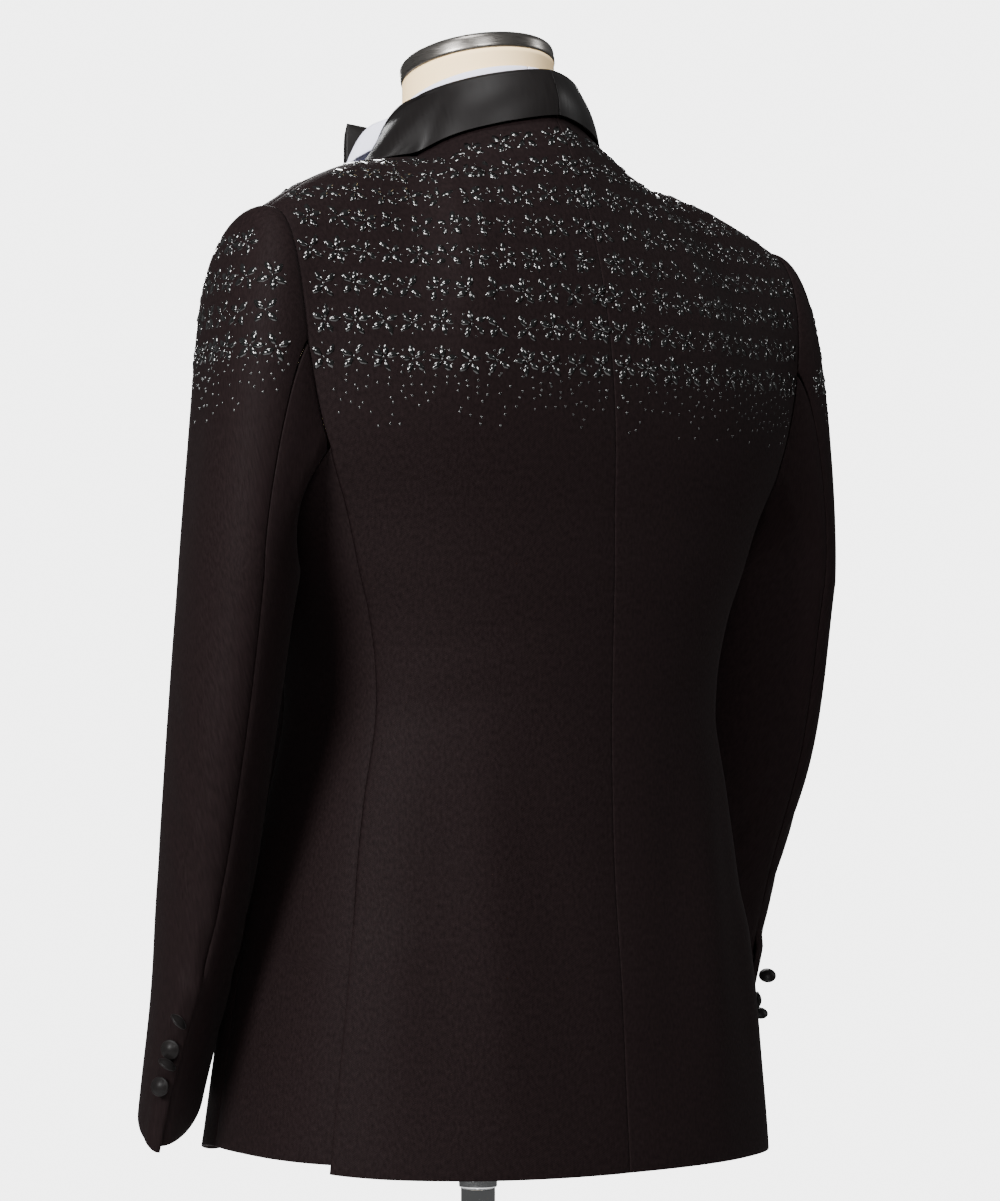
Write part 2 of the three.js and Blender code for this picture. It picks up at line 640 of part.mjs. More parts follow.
function collarSurface(section, station, side) {
  const { seam, up, out, stand, edge, follow, v, share } = collarStation(station, side);
  const place = (rise, away) => seam.clone().addScaledVector(up, rise).addScaledVector(out, away);
  if (section <= standPart) {
    const t = section / standPart;
    const foot = Math.min(standFoot.up, stand - standFoot.in);
    return place(lerp(foot, stand, t), lerp(-standFoot.in, -rollRadius, t));
  }
  if (section <= standPart + foldPart) {
    const turn = Math.PI * ((section - standPart) / foldPart) - Math.PI / 2;
    return place(stand + rollRadius * Math.cos(turn), rollRadius * Math.sin(turn));
  }
  const t = (section - standPart - foldPart) / (1 - standPart - foldPart);
  const chord = place(stand, rollRadius).lerp(edge, t);
  chord.addScaledVector(out, collarBelly * Math.sin(Math.PI * t) * (1 - follow));
  if (follow === 0) return chord;
  const u = 1 - share * t;
  const lift = lerp(rollRadius + 0.6, lapelLift, t);
  const laid = frontSurface(u, v, side).addScaledVector(surfaceNormal(frontSurface, u, v, side), lift);
  laid.addScaledVector(up, stand * (1 - t) ** 3);
  return chord.lerp(laid, follow);
}

function mirrored(surface, side) {
  return (u, v) => onSide(side, surface(u, v, side));
}

// Shirt: a stand round the neck, a turned-down collar in two leaves, and two plain halves of the front.
const leafGap = 1.2; // from the stand's inside to the leaf's top
const leafRoll = 0.3; // the leaf rolls off the stand as its depth to this power
const leafSlant = 17; // its front edge is cut back by this many degrees at its foot

function collarTopUp(angle) {
  return shirtTopUp + shirtTopTilt * Math.cos(rad(angle));
}

function roundNeck(radius, angle, z) {
  return point(radius * Math.sin(rad(angle)), radius * Math.cos(rad(angle)), z);
}

function shirtStand(u, v) {
  const angle = lerp(6, 354, u);
  const z = lerp(collarTopUp(angle) - standDeep, collarTopUp(angle) - 3.4, v);
  return roundNeck(standRadius + 1.6 + 0.6 * (1 - v), angle, z);
}

function shirtLeaf(u, v) {
  const angle = lerp(0.3, 172, u);
  const spread = angle - leafSlant * v * ramp(140, 172, angle);
  const out = readTable(leafShape, 'angle', 'out', spread);
  const z = collarTopUp(angle) - readTable(leafShape, 'angle', 'drop', spread) * v;
  return roundNeck(standRadius + leafGap + out * v ** leafRoll, spread, z);
}

// Half of the shirt front: u runs from the middle, which the left half laps over, v from the foot up.
const bibSplit = 0.45;

const bibTopSpread = 62; // its upper edge runs this many degrees round the neck

function bibSurface(u, v, side = 1) {
  const lap = side > 0 ? -7 : 7.5;
  const under = side > 0 ? 0 : 1.6;
  const x = lerp(lap, bibHalf, u);
  const middle = under * ramp(26, 12, Math.abs(x));
  const inset = lerp(9, 12, ramp(0.2, 0.45, v)) + middle;
  if (v <= bibSplit) {
    const z = lerp(bibFoot, frontTop, v / bibSplit);
    return ringPoint(bodyRings, frontAngle(x * 0.98, z), z, inset);
  }
  const foot = ringPoint(bodyRings, frontAngle(x * 0.98, frontTop), frontTop, inset);
  const angle = 180 - lerp(THREE.MathUtils.radToDeg(lap / 60), bibTopSpread, u ** 0.9);
  const end = roundNeck(standRadius + 3.6 - middle, angle, collarTopUp(angle) - standDeep - 0.4);
  const reach = foot.distanceTo(end);
  const leave = point(0, 0.12, 1).multiplyScalar(reach * 0.9);
  const arrive = point(-0.1 * u, 0.3, 0.95).multiplyScalar(reach * 0.7);
  return hermite(foot, leave, end, arrive, (v - bibSplit) / (1 - bibSplit));
}

// Bow tie: two wings of doubled satin with a knot between them.
const bowUp = 709;
const bowFront = -65.8;
const bowRoot = 8.6;
const bowTip = 60;
const knotHalf = { x: 7.2, y: 8, z: 12 };

function bowWing(u, v) {
  const reach = lerp(bowRoot, bowTip, u);
  const tall = lerp(13, 20, u ** 0.8);
  const thick = 1.2 + 3 * Math.sin(Math.PI * clamp(u * 0.85 + 0.08, 0, 1));
  const turn = 2 * Math.PI * v;
  const y = bowFront - 0.0035 * reach * reach + thick * Math.sin(turn);
  return point(reach, y, bowUp + tall * signedPower(Math.cos(turn), 0.8));
}

function bowKnot(u, v) {
  const turn = 2 * Math.PI * u;
  const swell = 1 + 0.12 * Math.sin(Math.PI * v);
  const x = knotHalf.x * swell * signedPower(Math.cos(turn), 0.7);
  const y = bowFront + knotHalf.y * swell * signedPower(Math.sin(turn), 0.7);
  return point(x, y, bowUp + lerp(-knotHalf.z, knotHalf.z, v));
}

// Round pieces: a closed profile of radius and height turned about the upright axis.
function turnedSolid(profile, around) {
  const outline = profile.map(([radius, height]) => new THREE.Vector2(radius, height));
  const lathe = new THREE.LatheGeometry(outline, around);
  lathe.rotateX(Math.PI / 2);
  const flat = lathe.getAttribute('position').array;
  const positions = [];
  const known = new Map();
  const index = [];
  const source = lathe.getIndex().array;
  source.forEach((i) => {
    const spot = [flat[3 * i], flat[3 * i + 1], flat[3 * i + 2]];
    const key = spot.map((value) => Math.round(value * 1000)).join();
    if (!known.has(key)) {
      known.set(key, positions.length / 3);
      positions.push(...spot);
    }
    index.push(known.get(key));
  });
  const kept = [];
  for (let t = 0; t < index.length; t += 3) {
    const [a, b, c] = index.slice(t, t + 3);
    if (a !== b && b !== c && a !== c) kept.push(a, b, c);
  }
  return solidFrom(positions, kept);
}

// A covered button: a domed disc on a narrow shank, with its foot at the origin and its face along +Z.
function buttonGeometry(radius, shank) {
  const thick = radius * 0.3;
  return turnedSolid([
    [0, 0], [radius * 0.32, 0], [radius * 0.32, shank], [radius, shank], [radius, shank + thick * 0.5],
    [radius * 0.7, shank + thick * 1.5], [0, shank + thick * 2],
  ], 10);
}

function placeButton(name, foot, axis, radius, shank) {
  const mesh = addMesh(name, buttonGeometry(radius, shank), blackSatin);
  mesh.quaternion.setFromUnitVectors(point(0, 0, 1), axis);
  mesh.position.set(foot.x, foot.y, foot.z + hemHeight);
}

// The shank's foot and the axis of a cuff button on the left sleeve. One that leans far is on its rim.
function cuffButtonPlace(row) {
  const lowest = topSleeve(cuffButtonAcross, 1).z;
  const down = (sleeveTopUp - row.z) / (sleeveTopUp - lowest);
  const spot = topSleeve(cuffButtonAcross, crownShare + (1 - crownShare) * down);
  const middle = sleeveSection(0, spot.z).lerp(sleeveSection(0.5, spot.z), 0.5);
  const normal = spot.clone().sub(middle).normalize();
  const leaning = point(-normal.y, normal.x, 0).multiplyScalar(Math.cos(rad(row.toward)));
  leaning.z += Math.sin(rad(row.toward));
  const axis = normal.clone().multiplyScalar(Math.cos(rad(row.tip)));
  axis.addScaledVector(leaning, Math.sin(rad(row.tip))).normalize();
  if (row.tip < 45) return { foot: spot.addScaledVector(normal, buttonClear), axis };
  spot.addScaledVector(normal, cuffButtonRadius * Math.sin(rad(row.tip)) + 2 * buttonClear);
  return { foot: spot.addScaledVector(axis, -row.shank - 0.2 * cuffButtonRadius), axis };
}

// Jacket. The panels' outer columns are trimmed for the gaps at their seams.
function seamTrim(surface, low, high) {
  return (u, v, side) => surface(lerp(low, high, u), v, side);
}

const backRows = [
  0, 0.03, 0.08, 0.13, 0.17, 0.2, 0.24, 0.29, 0.34, 0.39, 0.44, 0.49, 0.54, 0.58, 0.62,
  0.66, 0.7, 0.75, 0.8, 0.85, 0.9, 0.95, 0.9985,
];
const sideRows = [
  0, 0.08, 0.16, 0.24, 0.311, 0.32, 0.38, 0.44, 0.5, 0.57, 0.64, 0.71, 0.78, 0.85, 0.92, 1,
];
const frontRows = [
  0, 0.03, 0.07, 0.12, 0.18, 0.24, 0.3, 0.36, 0.41, 0.43, 0.45, 0.49, 0.54, 0.6, 0.65, 0.7, 0.75, 0.8,
  0.85, 0.9, 0.95, 0.9985,
];
const crownRows = [0, 0.03, 0.08, 0.14, 0.21, 0.28, 0.35];
const armRows = [0.43, 0.51, 0.59, 0.67, 0.75, 0.79, 0.815, 0.82, 0.845, 0.92, 1];
const leafRows = [0, 0.03, 0.12, 0.3, 0.6, 1];
const firstStation = 0.004; // half the gap at the collar's centre back seam
const collarSections = [0, 0.11, 0.22, 0.28, 0.34, 0.4, 0.46, 0.52, 0.64, 0.76, 0.88, 1];
const collarStations = [...evenShares(9), ...evenShares(14).slice(1).map((share) => 1 + share)];

[[1, 'left'], [-1, 'right']].forEach(([side, name]) => {
  const sided = (surface) => mirrored(surface, side);
  const back = seamTrim(backSurface, 0.0012, 0.997);
  addMesh(`back_${name}`, makeWall(sided(back), 10, backRows, clothWall, side), jacketCloth);
  const sidePanel = seamTrim(sideSurface, 0.006, 0.992);
  addMesh(`side_${name}`, makeWall(sided(sidePanel), 6, sideRows, clothWall, side), jacketCloth);
  const front = seamTrim(frontSurface, 0.003, 1);
  addMesh(`front_${name}`, makeWall(sided(front), 9, frontRows, clothWall, side), jacketCloth);
  const sleeveRows = [...crownRows, ...armRows];
  const topPiece = makeWall(sided(topSleeve), 11, sleeveRows, clothWall, side);
  addMesh(`top_sleeve_${name}`, topPiece, jacketCloth);
  const underPiece = makeWall(sided(underSleeve), 7, sleeveRows, clothWall, side);
  addMesh(`under_sleeve_${name}`, underPiece, jacketCloth);
  const collar = (section, station) => collarSurface(section, Math.max(station * 2, firstStation), side);
  const shares = collarStations.map((station) => station / 2);
  const collarPiece = makeWall(sided(collar), collarSections, shares, satinWall, -side);
  addMesh(`collar_${name}`, collarPiece, blackSatin);
  cuffButtons.forEach((row, i) => {
    const { foot, axis } = cuffButtonPlace(row);
    const label = `cuff_button_${name}_${i + 1}`;
    placeButton(label, onSide(side, foot), onSide(side, axis), cuffButtonRadius, row.shank);
  });
});

const frontSpot = ringPoint(bodyRings, 180, buttonUp);
frontSpot.y -= buttonClear;
placeButton('front_button', frontSpot, point(0, -1, 0), frontButtonRadius, frontShank);

// Shirt front and bow tie
addMesh('shirt_stand', makeWall(shirtStand, 28, 1, shirtWall, 1), shirtCloth);
[[1, 'left'], [-1, 'right']].forEach(([side, name]) => {
  const sided = (surface) => mirrored(surface, side);
  addMesh(`shirt_leaf_${name}`, makeWall(sided(shirtLeaf), 26, leafRows, shirtWall, -side), shirtCloth);
  addMesh(`shirt_front_${name}`, makeWall(sided(bibSurface), 7, 12, shirtWall, side), shirtCloth);
  const wing = (u, v) => onSide(side, bowWing(v, u));
  addMesh(`bow_wing_${name}`, makeLoft(wing, 16, 6), blackSatin);
});
addMesh('bow_knot', makeLoft(bowKnot, 16, 4), blackSatin);

// Dress form
const torsoLevels = [
  torsoFoot, 72, 100, 150, 205, 260, 311, 360, 410, 465, 520, 560, 600, 640, 672, torsoTop,
];
const torsoShares = torsoLevels.map((z) => (z - torsoFoot) / (torsoTop - torsoFoot));
const torsoSurface = (u, v) => ringPoint(torsoRings, 360 * u, lerp(torsoFoot, torsoTop, v));
addMesh('form_torso', makeLoft(torsoSurface, 24, torsoShares), formCloth);

const neckSurface = (u, v) => {
  const angle = 2 * Math.PI * u;
  const x = neckRadius * Math.sin(angle);
  const y = neckRadius * Math.cos(angle);
  return point(x, y, lerp(torsoTop + seamGap, capUp - seamGap + y * Math.tan(capTilt), v));
};
addMesh('form_neck', makeLoft(neckSurface, 32, 1), formCloth);

const cap = addMesh('neck_cap', turnedSolid([
  [0, 0], [54.6, 0], [55.5, 1.5], [55.5, 9], [54.2, 11.4], [50.5, capThick], [0, capThick + 1.2],
], 32), smokedMetal);
cap.rotation.x = capTilt;
cap.position.set(0, 0, hemHeight + capUp);

const poleFoot = baseThick + baseCollar + seamGap;
const poleTop = hemHeight + ferruleFoot - seamGap;
const ferruleTop = torsoFoot - seamGap;
addMesh('ferrule', turnedSolid([
  [0, ferruleFoot], [ferruleRadius, ferruleFoot], [ferruleRadius, ferruleTop], [0, ferruleTop],
], 20), chromeMetal);
const pole = addMesh('pole', turnedSolid([
  [0, poleFoot], [poleRadius, poleFoot], [poleRadius, poleTop], [0, poleTop],
], 20), chromeMetal);
pole.position.z = 0;
const base = addMesh('base', turnedSolid([
  [0, 0], [baseRadius - 1, 0], [baseRadius, 1.5], [baseRadius, 8], [baseRadius - 5, baseThick],
  [30, baseThick + 1.5], [24, baseThick + baseCollar], [0, baseThick + baseCollar],
], 36), chromeMetal);
base.position.z = 0;

export default tuxedo;
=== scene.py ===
import json
import math
import bpy
import numpy as np
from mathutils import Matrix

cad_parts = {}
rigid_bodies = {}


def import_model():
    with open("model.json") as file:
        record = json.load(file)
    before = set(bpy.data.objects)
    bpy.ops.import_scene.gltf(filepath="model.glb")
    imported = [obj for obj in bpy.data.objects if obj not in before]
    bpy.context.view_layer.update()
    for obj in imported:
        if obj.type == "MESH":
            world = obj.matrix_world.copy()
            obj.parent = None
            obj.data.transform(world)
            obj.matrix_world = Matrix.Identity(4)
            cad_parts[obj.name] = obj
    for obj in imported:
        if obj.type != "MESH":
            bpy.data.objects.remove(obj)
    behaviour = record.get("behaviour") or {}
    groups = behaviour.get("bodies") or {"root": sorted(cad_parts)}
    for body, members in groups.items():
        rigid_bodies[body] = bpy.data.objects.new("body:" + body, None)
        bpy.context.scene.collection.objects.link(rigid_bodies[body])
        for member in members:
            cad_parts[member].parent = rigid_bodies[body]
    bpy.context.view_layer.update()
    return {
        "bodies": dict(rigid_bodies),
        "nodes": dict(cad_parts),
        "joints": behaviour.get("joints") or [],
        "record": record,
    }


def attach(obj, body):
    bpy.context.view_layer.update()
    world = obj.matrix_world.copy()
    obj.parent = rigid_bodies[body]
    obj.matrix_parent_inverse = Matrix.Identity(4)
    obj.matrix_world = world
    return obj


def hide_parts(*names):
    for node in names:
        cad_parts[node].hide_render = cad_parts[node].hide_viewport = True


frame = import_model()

metre = 0.001  # every table and function below is in millimetres
print("frame loaded with", len(frame["nodes"]), "nodes")


# The camera stands level behind the wearer's left shoulder, and its shift lifts the picture a little.
photoView = {
    "distance": 2450,
    "towards": (-0.616, -0.788),
    "aside": 15.6,
    "height": 1134,
    "lens": 103.44,
    "shift": 0.0412,
}


def makeCamera(view):
    data = bpy.data.cameras.new("photo_camera")
    data.sensor_width = 36
    data.lens = view["lens"]
    data.shift_y = view["shift"]
    camera = bpy.data.objects.new("photo_camera", data)
    bpy.context.scene.collection.objects.link(camera)
    awayX, awayY = -view["towards"][0], -view["towards"][1]
    camera.location = (
        (view["distance"] * awayX - view["aside"] * awayY) * metre,
        (view["distance"] * awayY + view["aside"] * awayX) * metre,
        view["height"] * metre,
    )
    camera.rotation_euler = (math.radians(90), 0, math.atan2(-view["towards"][0], view["towards"][1]))
    bpy.context.scene.camera = camera


makeCamera(photoView)
print("camera placed")


# Small tools on arrays of points
def point(x, y, z):
    # Three arrays of matching shapes joined into one array of points.
    return np.stack(np.broadcast_arrays(x, y, z), axis=-1).astype(float)


def length(vectors):
    return np.linalg.norm(vectors, axis=-1, keepdims=True)


def unit(vectors):
    return vectors / np.maximum(length(vectors), 1e-9)


def dot(a, b):
    return np.sum(a * b, axis=-1, keepdims=True)


def mix(a, b, share):
    return a + (b - a) * share


def ramp(start, end, value):
    # 0 before start, 1 after end, and 3t^2 - 2t^3 between them.
    t = np.clip((value - start) / (end - start), 0, 1)
    return t * t * (3 - 2 * t)


def signedPower(value, exponent):
    return np.sign(value) * np.abs(value) ** exponent


def read(table, key, name, at):
    # A cubic through the table's rows. Its slope at a row is the mean of the slopes on the row's two sides.
    keys = np.asarray(table[key], float)
    values = np.asarray(table[name], float)
    slopes = np.diff(values) / np.diff(keys)
    ends = np.concatenate((slopes[:1], (slopes[1:] + slopes[:-1]) / 2, slopes[-1:]))
    i = np.clip(np.searchsorted(keys, at, side="right") - 1, 0, len(keys) - 2)
    span = keys[i + 1] - keys[i]
    t = np.clip((at - keys[i]) / span, 0, 1)
    blend = 3 * t**2 - 2 * t**3
    bow = (t**3 - 2 * t**2 + t) * ends[i] + (t**3 - t**2) * ends[i + 1]
    return mix(values[i], values[i + 1], blend) + span * bow


def hermite(start, leave, end, arrive, t):
    # The cubic that leaves start along leave and reaches end along arrive.
    t = t[..., None]
    return (
        start * (2 * t**3 - 3 * t**2 + 1)
        + leave * (t**3 - 2 * t**2 + t)
        + end * (3 * t**2 - 2 * t**3)
        + arrive * (t**3 - t**2)
    )


# The jacket's cut. Heights are above the hem, and every panel is worked out for the wearer's left
# and mirrored for the right. The jacket hangs a little skew, as the photograph shows.
jacket = {
    "hem": 780,
    "wall": 2,
    "seamGap": 0.3,
    "tilt": 8.5,
    "backHem": 2.5,
    "sideHem": 7.5,
    "frontHem": -2,
    "ventTop": 148,
    "ventLap": 8,
    "backTop": 486,
    "frontTop": 462,
    "armholeDip": 32,
    "breakUp": 352,
    "buttonUp": 310,
    "lapDepth": 2.8,
    "backNeck": (0, 81, 732),
    "neckPoint": (75, 17, 694),
    "shoulderTip": (220, 58, 646),
    "neckRound": 1.5,
    "shoulderRise": 11,
    "backSplit": 0.62,
    "frontSplit": 0.6,
    "ventShare": 0.32,
    "rowBend": 1.25,
    "fillAcross": 0.36,
    "fillWidth": 0.1,
    "fillDepth": 90,
    "topEase": 0.07,
    "neckLean": 38,
    "backLeave": 1.05,
    "backArrive": 0.9,
}
bodyMiddle = 38
bodyRound = 2.3  # the superellipse's exponent behind the middle, and in front where a table has no other
bodyRings = {
    "z": (-20, 0, 60, 120, 205, 250, 311, 347, 379, 405, 445, 486, 540),
    "half": (210, 208, 201, 193, 178.5, 169, 156, 159, 168.5, 181, 200, 224, 240),
    "back": (154, 152, 143, 134, 120, 115, 111, 111, 112, 113, 114, 115, 114),
    "front": (158, 156, 154, 151, 145, 142, 140, 142, 145, 148, 150, 149, 146),
    "mid": (14, 16, 21, 26, 32, 35, 38, 39, 39, 39, 38, 38, 38),
    "frontRound": (2.6, 2.6, 2.65, 2.75, 2.9, 3, 3, 2.9, 2.7, 2.5, 2.35, 2.3, 2.3),
}
bodySeams = {
    "z": (-20, 142, 330, 486),
    "sideBack": (65, 65.5, 70.5, 60.5),
    "sideFront": (103, 104, 108, 115),
}
frontEdge = {
    "z": (-20, 0, 40, 90, 150, 220, 318, 352, 400, 462),
    "x": (92, 74, 36, 8, -10, -18, -18, 11, 19, 31),
}
sleeveSections = {
    "z": (10, 52, 123, 182, 282, 404),
    "x": (219, 218, 217, 218, 223, 216),
    "y": (-70, -60, -39, -22, 5, 19),
    "thin": (20, 22, 27, 32, 36, 41),
    "broad": (63, 64, 65, 67, 74, 86),
    "turn": (36, 36, 34, 32, 30, 30),
}
sleeveSeams = {
    "along": (0, 0.35, 0.8, 1),
    "hindarm": (0.225, 0.295, 0.29, 0.255),
    "forearm": (0.71, 0.68, 0.67, 0.68),
}
sleeve = {
    "topUp": 404,
    "cuffUp": 42,
    "slant": 20,
    "ventAlong": 0.82,
    "ventLift": 3.2,
    "ventLap": 0.045,
    "tipDrop": 4,
    "clear": 3,
    "crown": 0.35,
    "headLeave": 0.48,
    "headArrive": 1.15,
    "armholeBack": 0.34,
    "armholeFront": 0.61,
}


def roundAt(rings, z, behind):
    # The ring's exponent n: its front can be squarer than its back.
    if "frontRound" not in rings:
        return bodyRound + 0 * z
    return np.where(behind, bodyRound, read(rings, "z", "frontRound", z))


def ringPoint(rings, angle, z, inset=0.0):
    # x = half * sin(angle)^(2/n) and y = mid + depth * cos(angle)^(2/n), with n from roundAt.
    turn = np.radians(angle)
    half = read(rings, "z", "half", z) - inset
    behind = np.cos(turn) > 0
    depth = np.where(behind, read(rings, "z", "back", z), read(rings, "z", "front", z)) - inset
    power = 2 / roundAt(rings, z, behind)
    x = half * signedPower(np.sin(turn), power)
    y = read(rings, "z", "mid", z) + depth * signedPower(np.cos(turn), power)
    return point(x, y, z)


def frontAngle(x, z):
    # The angle in front whose ring point has this x: 180 less the arc sine of (x / half)^(n / 2).
    share = np.clip(np.abs(x) / read(bodyRings, "z", "half", z), 0, 1)
    return 180 - np.degrees(np.arcsin(share ** (roundAt(bodyRings, z, False) / 2))) * np.sign(x)


def hemAt(x, side, rise):
    return jacket["tilt"] * x * side / 208 + rise


def neckSeam(share):
    # A quarter of a superellipse from the centre back to the neck point.
    share = np.clip(share, 0, 1)
    backNeck, neckPoint, n = jacket["backNeck"], jacket["neckPoint"], jacket["neckRound"]
    rise = (1 - share**n) ** (1 / n)
    y, z = (mix(neckPoint[k], backNeck[k], rise) for k in (1, 2))
    return point(neckPoint[0] * share, y, z)


def shoulderSeam(share):
    # Straight from the neck point to the tip, with a rise in the middle.
    share = np.clip(share, 0, 1)
    start, end = jacket["neckPoint"], jacket["shoulderTip"]
    rise = jacket["shoulderRise"] * np.sin(np.pi * share)
    x, y, z = (mix(start[k], end[k], share) for k in range(3))
    return point(x, y, z + rise)


def backTopLine(u):
    # The neck seam as far as the neck point, and then the shoulder seam.
    neckShare = jacket["neckPoint"][0] / jacket["shoulderTip"][0]
    beyond = (u - neckShare) / (1 - neckShare)
    return np.where((u < neckShare)[..., None], neckSeam(u / neckShare), shoulderSeam(beyond))


def backSurface(u, v, side=1):
    # Below the armhole: rings of the body. Above it: cubics that leave the ring upwards and lean over
    # to the neck seam and the shoulder seam. Beside the neck a fill of t^2 (1 - t) evens out the hollow, and
    # below the seams their corner is eased by a weighted mean of the line's points on both sides.
    u, v = np.broadcast_arrays(np.asarray(u, float), np.asarray(v, float))
    split, top = jacket["backSplit"], jacket["backTop"]
    bend = 1 - (1 - u) ** jacket["rowBend"]
    z = mix(hemAt(185 * u, side, jacket["backHem"]), top, np.clip(v / split, 0, 1))
    vent = jacket["ventTop"]
    lift = ramp(vent + 40, vent + 2, z) * ramp(0.42, 0.76, u) * (jacket["wall"] + 0.7)
    below = ringPoint(bodyRings, read(bodySeams, "z", "sideBack", z) * bend, z, -lift)
    angle = read(bodySeams, "z", "sideBack", top) * bend
    foot = ringPoint(bodyRings, angle, top)
    leave = (foot - ringPoint(bodyRings, angle, top - 8)) / 8
    t = np.clip((v - split) / (1 - split), 0, 1)
    ease = jacket["topEase"] * np.minimum(1, 4 * (1 - t)) * ramp(0.04, 0.26, u) * ramp(0.8, 0.55, u)
    end = (backTopLine(u - ease) + 2 * backTopLine(u) + backTopLine(u + ease)) / 4
    reach = length(foot - end)
    lean = np.radians(mix(jacket["neckLean"], 90, ramp(0, 0.42, u)))
    arrive = point(0 * u, -np.sin(lean), np.cos(lean)) * reach * jacket["backArrive"]
    aside = (u - jacket["fillAcross"]) / jacket["fillWidth"]
    fill = jacket["fillDepth"] * t**2 * (1 - t) * np.exp(-(aside**2))
    above = hermite(foot, leave * reach * jacket["backLeave"], end, arrive, t)
    above = above + point(0 * u, fill, 0.25 * fill)
    return np.where((v <= split)[..., None], below, above)


def sideSurface(u, v, side=1):
    # Rings of the body between the two side seams. In the vent the panel runs on under the back.
    u, v = np.broadcast_arrays(np.asarray(u, float), np.asarray(v, float))
    share, vent = jacket["ventShare"], jacket["ventTop"]
    top = mix(jacket["backTop"], jacket["frontTop"], u) - jacket["armholeDip"] * np.sin(np.pi * u)
    low = mix(hemAt(200, side, jacket["sideHem"]), vent, v / share)
    z = np.where(v < share, low, mix(vent, top, (v - share) / (1 - share)))
    start = read(bodySeams, "z", "sideBack", z) - jacket["ventLap"] * ramp(vent, vent - 4, z)
    return ringPoint(bodyRings, mix(start, read(bodySeams, "z", "sideFront", z), u), z)


def frontSurface(u, v, side=1):
    # As the back: rings from the side seam to the front edge, then cubics over the chest to the shoulder.
    # The right front lies inside the left one where they overlap.
    u, v = np.broadcast_arrays(np.asarray(u, float), np.asarray(v, float))
    split, top = jacket["frontSplit"], jacket["frontTop"]
    rise = mix(jacket["sideHem"], jacket["frontHem"], ramp(0, 0.6, u))
    z = mix(hemAt(200 * (1 - u), side, rise), top, np.clip(v / split, 0, 1))
    start = read(bodySeams, "z", "sideFront", z)
    angle = mix(start, frontAngle(read(frontEdge, "z", "x", z), z), u)
    x = np.abs(ringPoint(bodyRings, angle, z)[..., 0])
    under = jacket["lapDepth"] * ramp(60, 26, x) * ramp(jacket["breakUp"] + 22, jacket["breakUp"] - 4, z)
    below = ringPoint(bodyRings, angle, z, under * (side < 0))
    angle = mix(
        read(bodySeams, "z", "sideFront", top), frontAngle(read(frontEdge, "z", "x", top), top), u
    )
    foot = ringPoint(bodyRings, angle, top)
    leave = (foot - ringPoint(bodyRings, angle, top - 8)) / 8
    leave[..., 0] = mix(0.25, 0.2, u)
    end = shoulderSeam(1 - u)
    reach = length(foot - end)
    arrive = point(0 * u, 0 * u + 0.95, 0.2 * ramp(0.2, 0.7, u) * ramp(1, 0.85, u)) * reach
    above = hermite(foot, leave * reach, end, arrive, np.clip((v - split) / (1 - split), 0, 1))
    return np.where((v <= split)[..., None], below, above)


def armhole(share):
    # Once round: 0 is the shoulder tip, then down the back, under the arm and up the front.
    k = np.mod(share, 1)
    back, front = sleeve["armholeBack"], sleeve["armholeFront"]
    behind = backSurface(1, mix(1, jacket["backSplit"], np.clip(k / back, 0, 1)))
    below = sideSurface(np.clip((k - back) / (front - back), 0, 1), 1)
    before = frontSurface(0, mix(jacket["frontSplit"], 1, np.clip((k - front) / (1 - front), 0, 1)))
    return np.where((k <= back)[..., None], behind, np.where((k < front)[..., None], below, before))


def sleeveSection(share, z, lift=0.0):
    # An ellipse: thin across and broad along, turned so that its front edge points inward.
    angle = 2 * np.pi * share
    turn = np.radians(read(sleeveSections, "z", "turn", z))
    thin = (read(sleeveSections, "z", "thin", z) + lift) * np.cos(angle)
    broad = (read(sleeveSections, "z", "broad", z) + lift) * np.sin(angle)
    x = read(sleeveSections, "z", "x", z) + np.cos(turn) * thin + np.sin(turn) * broad
    y = read(sleeveSections, "z", "y", z) - np.sin(turn) * thin + np.cos(turn) * broad
    return point(x, y, z)


def clearOfBody(p, clear):
    # A point inside the body's ring, made larger by clear, is moved straight out onto it.
    z = p[..., 2]
    half = read(bodyRings, "z", "half", z) + clear
    back, front = read(bodyRings, "z", "back", z), read(bodyRings, "z", "front", z)
    depth = np.where(p[..., 1] > bodyMiddle, back, front) + clear
    mid = read(bodyRings, "z", "mid", z)
    n = roundAt(bodyRings, z, p[..., 1] > mid)
    reach = np.abs(p[..., 0] / half) ** n + np.abs((p[..., 1] - mid) / depth) ** n
    reach = np.maximum(reach ** (1 / n), 1e-6)
    moved = point(p[..., 0] / reach, mid + (p[..., 1] - mid) / reach, z)
    inside = (reach < 1) & (z <= jacket["backTop"] - 14)
    return np.where(inside[..., None], moved, p)


def sleeveSurface(share, along, lift=0.0, drop=0.0):
    # The crown is a cubic from the armhole to the first section. Below it the sections run to the cuff,
    # whose back end is the lowest.
    share, along = np.broadcast_arrays(np.asarray(share, float), np.asarray(along, float))
    angle = 2 * np.pi * share
    crown = sleeve["crown"]
    down = np.clip((along - crown) / (1 - crown), 0, 1)
    z = mix(sleeve["topUp"], sleeve["cuffUp"] - sleeve["slant"] * np.sin(angle) - drop, down)
    arm = clearOfBody(sleeveSection(share, z, lift), sleeve["clear"])
    t = np.clip(along / crown, 0, 1)
    start = armhole(share)
    start[..., 0] += jacket["seamGap"] / 2
    end = sleeveSection(share, sleeve["topUp"] + 0 * share)
    reach = length(start - end)
    leave = unit(point(0.95, 0.25 * np.sin(angle), 0.6 * np.cos(angle) - 0.45))
    arrive = point(0.03, -0.08, -1) * reach * sleeve["headArrive"]
    head = hermite(start, leave * reach * sleeve["headLeave"], end, arrive, t)
    head = clearOfBody(head, np.minimum(sleeve["clear"], 0.6 + 8 * t))
    return np.where((along >= crown)[..., None], arm, head)


